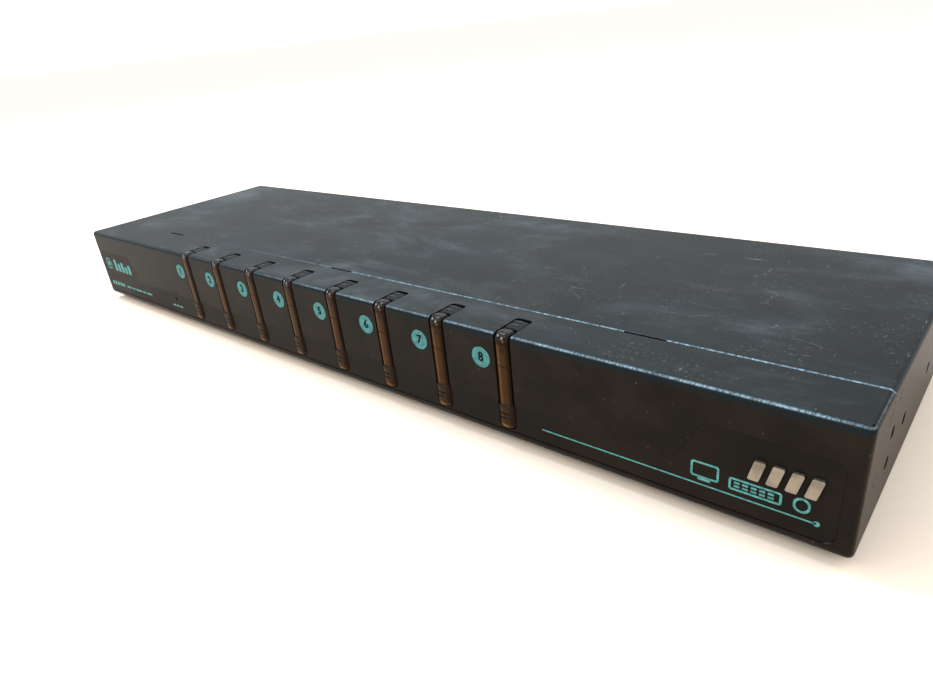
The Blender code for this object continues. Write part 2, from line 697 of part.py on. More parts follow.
def make_screws_and_feet():
    """Two lid screws at the rear and four rubber feet."""
    facing_back = (-math.pi / 2, 0, 0)
    head, shank = 2.8 * MM, 1.3 * MM
    screw = [(0, 2 * MM), (1.6 * MM, 2 * MM), (head, 1.2 * MM), (head, 0), (shank, 0), (shank, -5 * MM),
             (0, -5 * MM)]
    screw_z = BODY_HEIGHT - REAR_FLANGE_HEIGHT / 2
    for side, x in zip(("left", "right"), SCREW_X):
        turned_part(f"cover_screw_{side}", screw, place(x, BODY_DEPTH + GAP, screw_z), "nickel", facing_back)
    top = FOOT_HEIGHT - 0.1 * MM
    pad = [(0, top), (FOOT_RADIUS, top), (FOOT_RADIUS, 1.8 * MM), (FOOT_RADIUS - 0.9 * MM, 0), (0, 0)]
    for end, y in zip(("front", "rear"), FOOT_Y):
        for side, x in (("left", FOOT_X), ("right", BODY_WIDTH - FOOT_X)):
            turned_part(f"foot_{end}_{side}", pad, place(x, y, -FOOT_HEIGHT), "rubber", steps=20)


make_chassis()
make_rear_panel()
make_cover()
make_overlay()
make_keys()
make_key_carrier()
make_boards()
make_switches()
make_ports()
make_screws_and_feet()
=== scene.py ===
"""The looks of an eight-channel keyboard, video and mouse switch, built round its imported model.

Shapes are drawn in millimetres. A place is (x, y, z) from the case's left side, front and underside,
and piece() puts the finished shape in the shared frame.
"""
import math

import bmesh
import bpy
from mathutils import Euler, Matrix, Vector


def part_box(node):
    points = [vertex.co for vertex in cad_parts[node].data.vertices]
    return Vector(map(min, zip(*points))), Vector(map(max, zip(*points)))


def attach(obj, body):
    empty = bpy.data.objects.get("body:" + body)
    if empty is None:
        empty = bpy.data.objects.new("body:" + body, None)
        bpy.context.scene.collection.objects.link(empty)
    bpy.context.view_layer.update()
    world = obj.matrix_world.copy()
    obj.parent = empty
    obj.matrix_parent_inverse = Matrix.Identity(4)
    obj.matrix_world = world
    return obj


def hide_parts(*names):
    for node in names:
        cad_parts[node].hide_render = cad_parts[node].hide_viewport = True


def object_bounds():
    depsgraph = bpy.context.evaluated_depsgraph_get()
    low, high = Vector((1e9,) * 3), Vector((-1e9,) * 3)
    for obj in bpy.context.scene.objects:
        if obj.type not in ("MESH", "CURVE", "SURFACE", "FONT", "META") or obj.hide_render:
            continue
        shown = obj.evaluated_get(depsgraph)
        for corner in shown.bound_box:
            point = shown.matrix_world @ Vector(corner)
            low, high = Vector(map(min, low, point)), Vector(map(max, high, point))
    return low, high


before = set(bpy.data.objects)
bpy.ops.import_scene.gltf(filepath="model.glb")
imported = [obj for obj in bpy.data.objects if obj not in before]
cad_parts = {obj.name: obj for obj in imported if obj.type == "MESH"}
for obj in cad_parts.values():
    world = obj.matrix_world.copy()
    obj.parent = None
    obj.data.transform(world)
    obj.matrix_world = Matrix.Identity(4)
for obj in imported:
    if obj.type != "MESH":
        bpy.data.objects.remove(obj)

CAD_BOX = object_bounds()

MM = 0.001
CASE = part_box("chassis")[0]
WIDTH, _, HEIGHT = (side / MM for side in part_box("chassis")[1] - CASE)


def span(node):
    """Lowest and highest corner of a CAD node, as places in millimetres."""
    low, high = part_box(node)
    return (low - CASE) / MM, (high - CASE) / MM


def middle(node):
    """Centre of a CAD node's box, as a place."""
    low, high = span(node)
    return (low + high) / 2


# Case
SHEET = 1.2
LOWER_BEND = 3.5
UPPER_BEND = 2.0
BEND_STEPS = 10
LID_FRONT = span("top_cover")[0].y + 6.3
LID_REAR = span("top_cover")[1].y
FLANGE = 11.0
LID_EDGE = 0.5
REAR_FLANGE = 8.0
GAP = 0.3
SHELF_DEPTH = LID_FRONT - GAP
TAB_X = (70, WIDTH / 2, WIDTH - 70)
TAB_WIDTH = 14
TAB_REACH = 6
TAB_DROP = 0.4
TAB_SLIT = 0.3
EAR_HOLES = ((48.8, 18.9), (29, 25.2), (28.7, 15.2), (88, 17.8))
EAR_HOLE_RADIUS = 2.2
FLANGE_DIMPLE = (31, 34.7)
WALL_DIMPLE = (11.8, 18.2)
DIMPLE_RADIUS = 0.55
CORNER_SLIT = 0.05
RELIEF_RADIUS = 0.38
END_ROUND = 1.8
SCREWS = ("cover_screw_left", "cover_screw_right")
SCREW_HOLE = 1.7
STANDOFF_X = (20, WIDTH / 2, WIDTH - 20)
STANDOFF_Y = (24, 90)
STANDOFF_RADIUS = 3
BOARD_FOOT = span("main_board")[0].z

# Recess and film
RECESS_EDGE = 4.5
RECESS_LOW = 3.8
BAND_TOP = 15.3
PAD_TOP = 30.5
PAD_TOP_WIDTH = 37
PAD_FOOT_WIDTH = 45.5
RECESS_RADII = (3.5, 4, 3)
RECESS_DEPTH = 0.55
FILM_FRONT, FILM_BACK = (corner.y for corner in span("front_overlay"))
FILM_CLEARANCE = 0.05
FILM_LIFT = 0.3

# Keys
CHANNELS = [str(number) for number in range(1, 9)]
KEY_X = {channel: middle(f"key_{channel}").x for channel in CHANNELS}
(_, THUMB_FACE, KEY_TIP), (_, _, KEY_TOP) = span("key_1")
KEY_PROUD = KEY_TOP - HEIGHT
KEY_WIDTH = 5.5
KEY_THICKNESS = 2.4
KEY_BACK = KEY_THICKNESS - KEY_PROUD
KEY_CROWN = 1.35
TAIL_WIDTH = 6.2
THUMB_WIDTH = 7.0
THUMB_CROWN = 2.3
THUMB_ROUND = 2.6
TIP_ROUND = 1.3
THUMB_TOP = 14.3
THUMB_GROOVES = (9.5, 11.4)
STRIP_GROOVE = 30.0
TAIL_RIDGES = (8.7, 11.8)
GLOSS_FROM = 39.9
HINGE_Y = 4.5
HINGE_Z = 40.7
GROOVE_FRONT = 4.9
GROOVE_REAR = 6.1
HINGE_ARCH = 0.5
SLOT_WIDTH = 7.2
SLOT_LOW = 4.95
SLOT_FOOT_ROUND = 2.4
SLOT_END_ROUND = 1.5
SLOT_REAR = span("key_carrier")[1].y
RESET = middle("reset_plunger")
PINHOLE = 0.75

# Rear
PORTS = ["console"] + CHANNELS
PANEL_Y = span("rear_panel")[1].y - SHEET
PORT_END = span("vga_port_console")[1].y
VGA_HALF_LOW, VGA_HALF_HIGH, VGA_HEIGHT = 7.1, 8.45, 8.3
PS2_CENTRES = (6.4, 19.4)
PS2_PINS = ((-2.1, 1.55), (2.1, 1.55), (-2.5, -0.55), (2.5, -0.55), (-0.95, -2.35), (0.95, -2.35))


# Shape helpers

# Angles in degrees: corners that are eased, and edges that are shaded as sharp
EASED_FROM = 35
SHARP_FROM = 32


def arc(centre, radius, start, end, steps=BEND_STEPS):
    """Points on an arc; the angles are in degrees."""
    points = []
    for step in range(steps + 1):
        angle = math.radians(start + (end - start) * step / steps)
        points.append((centre[0] + radius * math.cos(angle), centre[1] + radius * math.sin(angle)))
    return points


def rounded(corners, radii, steps=8):
    """A closed outline whose corners are rounded with the given radii."""
    points = []
    for index, corner in enumerate(corners):
        here = Vector(corner)
        before = (Vector(corners[index - 1]) - here).normalized()
        after = (Vector(corners[(index + 1) % len(corners)]) - here).normalized()
        half = before.angle(after) / 2
        reach = radii[index] / math.tan(half)
        first = here + before * reach
        last = here + after * reach
        centre = here + (before + after).normalized() * (radii[index] / math.sin(half))
        for step in range(steps + 1):
            spoke = (first - centre).lerp(last - centre, step / steps).normalized() * radii[index]
            points.append(tuple(centre + spoke))
    return points


def rectangle(low, high, radius=0.0, steps=6):
    """A rectangle's outline between two corners, rounded if a radius is given."""
    corners = [(low[0], low[1]), (high[0], low[1]), (high[0], high[1]), (low[0], high[1])]
    return rounded(corners, [radius] * 4, steps) if radius else corners


def ring(centre, radius, segments=32):
    """A circle's outline."""
    return arc(centre, radius, 0, 360 * (segments - 1) / segments, segments - 1)


def on_axis(axis, point, depth):
    """A place from a point of an outline and a depth along the axis square to it."""
    first, second = point
    return {"X": (depth, first, second), "Y": (first, depth, second), "Z": (first, second, depth)}[axis]


def stacked(axis, stations):
    """Loops of places from (outline, depth) pairs along an axis."""
    return [[on_axis(axis, point, depth) for point in outline] for outline, depth in stations]


def skin(shape, rows):
    """Faces between rows of vertices, which have equal counts."""
    for row, following in zip(rows, rows[1:]):
        for index in range(len(row)):
            after = (index + 1) % len(row)
            shape.faces.new((row[index], row[after], following[after], following[index]))


def loft(shape, loops):
    """Skins loops of places, which have equal counts, and closes both ends."""
    rows = [[shape.verts.new(place) for place in loop] for loop in loops]
    skin(shape, rows)
    shape.faces.new(rows[0][::-1])
    shape.faces.new(rows[-1])


def prism(shape, outline, low, high, axis):
    """A flat outline drawn out along an axis."""
    loft(shape, stacked(axis, ((outline, low), (outline, high))))


def block(shape, low, high):
    """A box between two places."""
    prism(shape, rectangle(low[:2], high[:2]), low[2], high[2], "Z")


def rod(shape, centre, radius, low, high, axis, segments):
    """A cylinder along an axis."""
    prism(shape, ring(centre, radius, segments), low, high, axis)


def as_mesh(shape):
    """The bmesh as a mesh."""
    mesh = bpy.data.meshes.new("shape")
    shape.to_mesh(mesh)
    shape.free()
    return mesh


def closed(shape):
    """The bmesh as a mesh whose faces point out."""
    bmesh.ops.recalc_face_normals(shape, faces=shape.faces)
    return as_mesh(shape)


def solid(*draws):
    """A closed mesh, drawn by calls on one bmesh."""
    shape = bmesh.new()
    for draw, *values in draws:
        draw(shape, *values)
    return closed(shape)


def in_scene(data, name="scratch"):
    """A new object in the scene."""
    made = bpy.data.objects.new(name, data)
    bpy.context.scene.collection.objects.link(made)
    return made


def evaluated(obj, *extra):
    """The object's finished mesh; the object and any extra ones are removed."""
    bpy.context.view_layer.update()
    source = obj.evaluated_get(bpy.context.evaluated_depsgraph_get())
    mesh = bpy.data.meshes.new_from_object(source)
    for spent in (obj, *extra):
        bpy.data.objects.remove(spent, do_unlink=True)
    return mesh


def combine(mesh, tool_mesh, operation="DIFFERENCE"):
    """One solid cut by another, or joined to it."""
    part = in_scene(mesh)
    tool = in_scene(tool_mesh)
    step = part.modifiers.new("combine", "BOOLEAN")
    step.operation = operation
    step.solver = "EXACT"
    step.use_self = True
    step.object = tool
    return evaluated(part, tool)


def joined(parts):
    """One mesh of several, each with its own material index."""
    shape = bmesh.new()
    for index, mesh in parts:
        start = len(shape.faces)
        shape.from_mesh(mesh)
        shape.faces.ensure_lookup_table()
        for face in shape.faces[start:]:
            face.material_index = index
    return as_mesh(shape)


def spun(profile, centre, axis, segments=48):
    """A closed turned solid from (radius, depth) points; its first and last radii may be zero."""
    shape = bmesh.new()
    stations = [(ring(centre, max(radius, 0.001), segments), depth) for radius, depth in profile]
    loft(shape, stacked(axis, stations))
    bmesh.ops.remove_doubles(shape, verts=shape.verts, dist=0.0015)
    return closed(shape)


def piece(name, mesh, finishes, body="case", slot=None, replaces=(), edge=0.0, origin=None):
    """A visible piece of the model, in the shared frame, with its edges eased if a width is given.

    The origin is the place that the mesh is drawn about. Without one it is the case's own corner.
    """
    if mesh.users == 0 or origin is None:
        mesh.transform(Matrix.Scale(MM, 4))
        if origin is None:
            mesh.transform(Matrix.Translation(CASE))
    if edge:
        part = in_scene(mesh)
        ease = part.modifiers.new("edge", "BEVEL")
        ease.width = edge * MM
        ease.segments = 2
        ease.limit_method = "ANGLE"
        ease.angle_limit = math.radians(EASED_FROM)
        ease.miter_outer = "MITER_ARC"
        ease.use_clamp_overlap = True
        mesh = evaluated(part)
    if not mesh.materials:
        for finish in finishes:
            mesh.materials.append(finish)
        mesh.shade_smooth()
        mesh.set_sharp_from_angle(angle=math.radians(SHARP_FROM))
    mesh.name = name
    part = in_scene(mesh, name)
    level = part.modifiers.new("level faces", "WEIGHTED_NORMAL")
    level.keep_sharp = True
    if origin is not None:
        part.location = CASE + Vector(origin) * MM
    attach(part, body)
    if replaces:
        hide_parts(*replaces)


# Material helpers

class Look:
    """A procedural material: one Principled shader fed by patterns drawn in millimetres.

    Patterns lie in the case's places, or about the piece's own origin if the look is local.
    """

    def __init__(self, name, local=False):
        self.material = bpy.data.materials.new(name)
        self.material.use_nodes = True
        self.nodes = self.material.node_tree.nodes
        self.links = self.material.node_tree.links
        self.shader = self.nodes["Principled BSDF"]
        spot = self.node("ShaderNodeTexCoord").outputs["Object"]
        scaled = self.node("ShaderNodeVectorMath", spot, operation="SCALE")
        scaled.inputs["Scale"].default_value = 1 / MM
        self.place = scaled.outputs[0]
        if not local:
            self.place = self.node("ShaderNodeVectorMath", self.place, tuple(CASE / MM),
                                   operation="SUBTRACT").outputs[0]
        split = self.node("ShaderNodeSeparateXYZ", self.place)
        self.x, self.y, self.z = split.outputs
        facing = self.node("ShaderNodeNewGeometry").outputs["Normal"]
        self.facing = self.node("ShaderNodeSeparateXYZ", facing).outputs

    def feed(self, socket, value):
        """Link a socket, or set its value."""
        if isinstance(value, bpy.types.NodeSocket):
            self.links.new(value, socket)
        elif value is not None:
            socket.default_value = value

    def node(self, kind, *values, **settings):
        """A node with its settings and its first inputs."""
        made = self.nodes.new(kind)
        for key, value in settings.items():
            setattr(made, key, value)
        for socket, value in zip(made.inputs, values):
            self.feed(socket, value)
        return made

    def sum(self, operation, first, second=0.5):
        """A Math node."""
        return self.node("ShaderNodeMath", first, second, operation=operation).outputs[0]

    def noise(self, size, detail=2.0, roughness=0.5, stretch=None, twist=0.0):
        """Smooth noise from 0 to 1 whose lumps are about size millimetres across."""
        made = self.node("ShaderNodeTexNoise")
        spot = self.place
        if stretch:
            spot = self.node("ShaderNodeVectorMath", spot, stretch, operation="MULTIPLY").outputs[0]
        self.feed(made.inputs["Vector"], spot)
        made.inputs["Scale"].default_value = 1 / size
        made.inputs["Detail"].default_value = detail
        made.inputs["Roughness"].default_value = roughness
        made.inputs["Distortion"].default_value = twist
        return made.outputs[0]

    def cells(self, size):
        """Distance to the nearest of scattered points about size millimetres apart."""
        made = self.node("ShaderNodeTexVoronoi")
        self.feed(made.inputs["Vector"], self.place)
        made.inputs["Scale"].default_value = 1 / size
        return made.outputs["Distance"]

    def ease(self, value, start, end, low=0.0, high=1.0):
        """Low where the value is at start or before, high at end or after, smooth between."""
        made = self.node("ShaderNodeMapRange", interpolation_type="SMOOTHSTEP")
        for socket, number in zip(made.inputs, (value, start, end, low, high)):
            self.feed(socket, number)
        return made.outputs[0]

    def near(self, coordinate, value, width):
        """1 where the coordinate has the value, and 0 from width away."""
        away = self.sum("ABSOLUTE", self.sum("SUBTRACT", coordinate, value))
        return self.ease(away, width, 0)

    def both(self, *factors):
        """The product of some factors."""
        product = factors[0]
        for factor in factors[1:]:
            product = self.sum("MULTIPLY", product, factor)
        return product

    def blend(self, factor, first, second):
        """A colour between two others."""
        made = self.node("ShaderNodeMix", data_type="RGBA")
        for key, value in (("Factor", factor), ("A", first), ("B", second)):
            socket = next(each for each in made.inputs if each.name == key and each.enabled)
            if isinstance(value, tuple):
                value = (*value, 1.0)
            self.feed(socket, value)
        return next(each for each in made.outputs if each.enabled)

    def fog(self, start, end, size, detail, roughness=0.5, stretch=None, twist=0.0):
        """Noise as a factor: 0 where it is at start or less, 1 where it is at end or more."""
        return self.ease(self.noise(size, detail, roughness, stretch, twist), start, end)

    def over(self, colour, top, *factors):
        """A colour with another laid over it as strongly as the product of some factors."""
        return self.blend(self.both(*factors), colour, top)

    def bump(self, height, depth, strength=1.0, before=None):
        """Roughens the surface by a height pattern whose full depth is given in millimetres."""
        made = self.node("ShaderNodeBump")
        made.inputs["Strength"].default_value = strength
        made.inputs["Distance"].default_value = depth * MM
        self.feed(made.inputs["Height"], height)
        if before:
            self.feed(made.inputs["Normal"], before)
        return made.outputs[0]

    def finish(self, colour, roughness, normal=None, **plain):
        """Feeds the shader; plain values are set on its own sockets."""
        if isinstance(colour, tuple):
            colour = (*colour, 1.0)
        self.feed(self.shader.inputs["Base Color"], colour)
        self.feed(self.shader.inputs["Roughness"], roughness)
        if normal:
            self.feed(self.shader.inputs["Normal"], normal)
        for key, value in plain.items():
            self.shader.inputs[key.replace("_", " ")].default_value = value
        return self.material


# Materials

PAINT_SHINE = 0.07
STEEL_DARK = (0.0062, 0.0047, 0.0033)
STEEL_LIGHT = (0.0118, 0.0090, 0.0062)
# Painted warm light on the right-hand side
PAINTED_WARM_SIDE_LIGHT = (0.0215, 0.0122, 0.0042)
# Dust mixed with a painted bluish sky sheen, for what faces up
DUST_AND_SKY_SHEEN = (0.0105, 0.0190, 0.0240)
SMEAR = (0.090, 0.120, 0.136)
# Painted highlight over wear, then painted shade, for the bent edges
HIGHLIGHT_AND_WEAR_BLUE = (0.245, 0.395, 0.52)
PAINTED_SHADE_BLUE = (0.0045, 0.0105, 0.0150)
BARE = (0.25, 0.29, 0.31)


def painted_steel(name, worn=None):
    """Black powder coat: pimpled skin, with dust, smears, specks and scratches on what faces up, where a
    painted bluish sky sheen is mixed into the dust; the right side carries a painted warm light.

    worn makes three factors: a sparkling band, which is painted highlight on the case's bend and chips
    on the lid; a strip of painted shade; and a lighter edge, painted highlight over wear.
    """
    look = Look(name)
    skin = look.noise(0.4, 3, 0.6)
    grain = look.noise(1.5, 2)
    mottle = look.noise(16, 4, 0.6)
    cloud = look.noise(75, 4, 0.6, twist=0.8)
    colour = look.blend(look.ease(mottle, 0.35, 0.7), STEEL_DARK, STEEL_LIGHT)
    # Painted warm light: the right-hand side, facing +x, is tinted brown
    warm_lit_side = look.ease(look.facing[0], 0.6, 0.95)
    colour = look.over(colour, PAINTED_WARM_SIDE_LIGHT, warm_lit_side, look.ease(mottle, 0.2, 0.8, 0.6, 1.0))
    upward = look.both(look.ease(look.facing[2], 0.5, 0.95), look.ease(look.z, HEIGHT - 3, HEIGHT - 2))
    fine = look.ease(skin, 0.3, 0.75, 0.6, 1.18)
    # Dust mixed with a painted bluish sky sheen on what faces up
    colour = look.over(colour, DUST_AND_SKY_SHEEN, upward, look.ease(cloud, 0.3, 0.7, 0.5, 1.0), fine)
    wisps = look.fog(0.44, 0.80, 30, 6, 0.68, (0.5, 1, 1), 0.5)
    colour = look.over(colour, SMEAR, wisps, look.ease(cloud, 0.35, 0.65, 0.3, 1.0), upward, fine, 0.8)
    crust = look.both(look.fog(0.55, 0.72, 1.3, 4, 0.75), look.fog(0.48, 0.62, 20, 3))
    colour = look.over(colour, BARE, crust, upward, 0.22)
    speck = look.both(look.ease(look.cells(2.3), 0.13, 0.05), look.fog(0.52, 0.60, 8, 2))
    colour = look.over(colour, BARE, speck, look.ease(upward, 0, 1, 0.22, 0.42))
    rubbed = look.both(look.fog(0.48, 0.62, 26, 2), upward, 0.38)
    for stretch in ((0.09, 1.5, 1.0), (0.9, 0.16, 1.0)):
        colour = look.over(colour, BARE, look.fog(0.65, 0.70, 3.2, 4, 0.75, stretch), rubbed)
    curl = look.both(look.near(look.noise(55, 1, twist=0.6), 0.52, 0.0028), upward)
    on_lid = look.ease(look.y, LID_FRONT + 6, LID_FRONT + 14)
    broken = look.both(look.fog(0.56, 0.64, 16, 2), look.ease(grain, 0.3, 0.6))
    colour = look.over(colour, BARE, curl, on_lid, broken, 0.3)
    if worn:
        band, painted_shade_strip, highlight_and_wear_edge = worn(look)
        # The painted shade strip, then the band with its sparkle (painted highlight on the case, chips
        # on the lid), then the lighter edge of painted highlight over wear
        colour = look.over(colour, PAINTED_SHADE_BLUE, painted_shade_strip, 0.85)
        sparkle = look.ease(look.noise(0.45, 3, 0.75, (1, 0.35, 0.35)), 0.40, 0.62, 0.25, 1.0)
        colour = look.over(colour, HIGHLIGHT_AND_WEAR_BLUE, band, sparkle)
        colour = look.over(colour, HIGHLIGHT_AND_WEAR_BLUE, highlight_and_wear_edge, look.ease(grain, 0.3, 0.65, 0.3, 1.0))
    normal = look.bump(grain, 0.05, 0.3, look.bump(skin, 0.05, 0.5))
    rough = look.ease(skin, 0.25, 0.8, 0.34, 0.52)
    return look.finish(colour, rough, normal, Specular_IOR_Level=PAINT_SHINE)


def case_wear(look):
    """The front bend's upper half with a painted highlight over some wear, growing brighter to the
    right; painted shade on its lower strip; and a lighter strip along the shelf's right edge, painted
    highlight over wear.
    """
    front = look.ease(look.y, UPPER_BEND + 0.6, UPPER_BEND)
    along = look.ease(look.x, 90, 380, 0.08, 1.0)
    drift = look.ease(look.noise(18, 2), 0.3, 0.65, 0.5, 1.0)
    # Painted highlight on the bend's upper half, growing brighter to the right
    high = look.both(look.near(look.facing[2], 0.80, 0.20), front, along, drift)
    # Painted shade on the bend's lower strip
    low = look.both(look.ease(look.z, 38.8, 40.2), look.ease(look.facing[2], 0.75, 0.5), front,
                    look.fog(0.30, 0.5, 1.1, 3, 0.7))
    # A lighter strip along the shelf's right edge: painted highlight over wear
    end = look.both(look.ease(look.x, WIDTH - 0.9, WIDTH - 0.6),
                    look.ease(look.z, HEIGHT - 0.6, HEIGHT - 0.3))
    return high, low, look.both(end, 0.6)


def lid_wear(look):
    """The lid's front edge with a painted highlight over its wear, brighter to the right; painted shade
    under that edge and in mottled patches on the right-hand bend; and chips on that bend.
    """
    # Painted highlight over wear along the front edge, brighter to the right
    edge = look.ease(look.y, LID_FRONT + 0.75, LID_FRONT + 0.4)
    along = look.ease(look.x, 110, 330, 0.2, 1.0)
    sparkle = look.ease(look.noise(0.6, 3, 0.75, (1, 0.35, 0.35)), 0.35, 0.6, 0.35, 1.0)
    # Painted shade in mottled patches on the right-hand bend
    bend = look.both(look.ease(look.facing[0], 0.22, 0.40), look.ease(look.facing[2], 0.12, 0.3))
    ragged = look.ease(look.noise(2.5, 4, 0.7), 0.32, 0.48, 0.45, 1.0)
    chips = look.both(look.near(look.facing[0], 0.3, 0.16), look.fog(0.56, 0.66, 3.5, 3), 0.6)
    # Painted shade on the lower face of the front edge, over the seam
    deep = look.both(look.ease(look.z, HEIGHT - 0.1, HEIGHT - 0.3),
                     look.ease(look.y, LID_FRONT + 0.75, LID_FRONT + 0.55))
    shade = look.sum("MAXIMUM", look.both(bend, ragged), deep)
    return chips, shade, look.both(edge, along, sparkle, look.ease(look.facing[2], 0.2, 0.5))


def printed_film():
    """Black printed polyester: nearly flat, faintly stippled."""
    look = Look("black_film")
    wipe = look.noise(22, 3, 0.6, (0.5, 1, 1))
    colour = look.blend(look.ease(wipe, 0.35, 0.7), (0.0058, 0.0044, 0.0030), (0.0108, 0.0082, 0.0056))
    speck = look.ease(look.cells(3.1), 0.08, 0.03)
    colour = look.over(colour, BARE, speck, look.fog(0.5, 0.6, 12, 1), 0.3)
    rough = look.ease(wipe, 0.3, 0.75, 0.42, 0.54)
    stipple = look.bump(look.noise(0.3, 2), 0.02, 0.5)
    return look.finish(colour, rough, stipple, Specular_IOR_Level=PAINT_SHINE)


AMBER_DEEP = (0.0095, 0.0046, 0.0016)
# Amber of a painted lit band
AMBER_PAINTED_LIT = (0.036, 0.0155, 0.0038)
AMBER_THUMB = (0.018, 0.0085, 0.0035)
# Painted glow of light through the plastic
AMBER_PAINTED_GLOW = (0.105, 0.045, 0.011)
# Painted glow of light through the tip, also used for one painted glint
AMBER_TIP_PAINTED_GLOW = (0.30, 0.125, 0.030)
SMOKE_SKIN = (0.0062, 0.0048, 0.0038)
# Painted white glint
PAINTED_GLINT = (0.36, 0.38, 0.40)


def smoke_tail():
    """The smoke-brown plastic of the keys' fixed rear ends, tinted bluish by a painted sky reflection,
    with painted highlights on the ridge tops and painted shade on the face in the groove.
    """
    look = Look("smoke_amber_tail")
    blot = look.noise(2.2, 3)
    # Smoke-brown base tinted bluish by a painted sky reflection
    colour = look.blend(look.ease(blot, 0.35, 0.7), (0.0075, 0.0085, 0.0100), (0.013, 0.018, 0.022))
    # Painted highlight on the ridge tops
    colour = look.over(colour, (0.13, 0.17, 0.20), look.ease(look.z, HEIGHT + 0.05, HEIGHT + 0.2), 0.6)
    # Painted shade on the faces towards the hinge groove
    colour = look.over(colour, (0.0015, 0.0013, 0.0012), look.ease(look.facing[1], -0.35, -0.75), 0.9)
    rough = look.ease(blot, 0.3, 0.7, 0.30, 0.45)
    return look.finish(colour, rough, look.bump(blot, 0.02, 0.3), Specular_IOR_Level=0.05)


def smoke_amber(name, shine=0.06):
    """Smoke-brown translucent plastic about a key's hinge: a painted lit band and painted glow of amber
    down its left and at the tip, painted shade under the bend and in its grooves, and a dark glossy bend
    with painted glints.
    """
    look = Look(name, local=True)
    blot = look.noise(2.2, 3)
    half = KEY_WIDTH / 2
    low = look.ease(look.z, -1.6, -3.8)
    # Painted light: a lighter amber band from the left edge towards the middle, the right side left dark
    lit = look.both(look.ease(look.x, 0.25 - half, 0.9 - half), look.ease(look.x, 2.6, 0.9))
    colour = look.blend(look.both(lit, low), AMBER_DEEP, AMBER_PAINTED_LIT)
    patchy = look.ease(look.noise(7, 2), 0.3, 0.7, 0.55, 0.9)
    # Painted glow of light through the plastic, near the left edge
    colour = look.over(colour, AMBER_PAINTED_GLOW, look.near(look.x, 1.35 - half, 1.0), low, patchy)
    # Painted shade: a dark patch under the bend
    colour = look.over(colour, SMOKE_SKIN, look.near(look.x, 0.3, 2.2),
                       look.near(look.z, -4.2, 1.8), 0.75)
    # Painted shade along the strip's groove
    colour = look.over(colour, AMBER_DEEP, look.near(look.z, STRIP_GROOVE - HINGE_Z, 0.4), 0.75)
    thumb = look.ease(look.z, THUMB_TOP - HINGE_Z + 0.6, THUMB_TOP - HINGE_Z - 0.2)
    colour = look.over(colour, AMBER_THUMB, thumb, look.ease(blot, 0.2, 0.8, 0.35, 0.85))
    # Painted shade in the thumb's grooves
    for groove in THUMB_GROOVES:
        colour = look.over(colour, SMOKE_SKIN, look.near(look.z, groove - HINGE_Z, 0.55), 0.8)
    # Painted glow of light through the tip, stronger to the left
    tip = look.ease(look.z, KEY_TIP - HINGE_Z + 2.0, KEY_TIP - HINGE_Z + 0.8)
    colour = look.over(colour, AMBER_TIP_PAINTED_GLOW, tip, look.ease(look.x, 1.6, -1.0, 0.15, 1.0), 0.9)
    # Painted bluish sky reflection on what faces up
    painted_sky_reflection = look.blend(look.ease(blot, 0.45, 0.65), SMOKE_SKIN, (0.017, 0.023, 0.028))
    colour = look.over(colour, painted_sky_reflection, look.ease(look.facing[2], 0.3, 0.8), 0.9)
    # Painted glints on the bend: two white spots and one orange
    for x, z, wide, share, spark in ((-1.3, 0.9, 0.55, 0.85, PAINTED_GLINT), (0.5, 0.3, 0.6, 0.85, PAINTED_GLINT),
                                     (0.9, -0.7, 0.8, 0.4, AMBER_TIP_PAINTED_GLOW)):
        colour = look.over(colour, spark, look.near(look.x, x, wide), look.near(look.z, z, wide), share)
    rough = look.ease(look.z, -4.5, -2.0, 0.34, 0.12)
    return look.finish(colour, rough, look.bump(look.noise(5, 2), 0.02, 0.2), Specular_IOR_Level=shine)


def ink(name, colour, worn=0.25, shine=0.12):
    """Screen-printed ink, a little uneven and worn in spots."""
    look = Look(name)
    patchy = look.noise(1.5, 3, 0.6)
    pale = tuple(min(1.0, 1.25 * part + 0.015) for part in colour)
    dark = tuple(0.72 * part for part in colour)
    shade = look.blend(look.ease(patchy, 0.3, 0.7), dark, pale)
    shade = look.over(shade, STEEL_DARK, look.fog(0.68, 0.8, 0.5, 2), worn)
    rough = look.ease(patchy, 0.3, 0.7, 0.42, 0.6)
    return look.finish(shade, rough, look.bump(patchy, 0.01, 0.5), Specular_IOR_Level=shine)


def metal(name, colour, rough, scale=0.6):
    """Plated or bare metal with faint brushing and tarnish."""
    look = Look(name)
    fine = look.noise(scale, 3, 0.65)
    dull = tuple(0.62 * part for part in colour)
    shade = look.blend(look.fog(0.35, 0.75, 5, 3), colour, dull)
    shine = look.ease(fine, 0.25, 0.8, rough * 0.75, rough * 1.4)
    return look.finish(shade, shine, look.bump(fine, 0.01, 0.4), Metallic=1.0)


def moulded(name, colour, rough=0.45, size=0.35, depth=0.02, local=False):
    """Moulded plastic or rubber with a fine spark-eroded grain."""
    look = Look(name, local)
    grain = look.noise(size, 2, 0.6)
    light = tuple(min(1.0, 1.3 * part + 0.004) for part in colour)
    shade = look.blend(look.fog(0.3, 0.7, 9, 3), colour, light)
    shade = look.over(shade, (0.16, 0.16, 0.16), look.ease(look.facing[2], 0.4, 1.0),
                      look.ease(grain, 0.3, 0.8, 0.1, 0.35))
    rough = look.ease(grain, 0.3, 0.7, rough * 0.85, rough * 1.15)
    return look.finish(shade, rough, look.bump(grain, depth, 0.6))


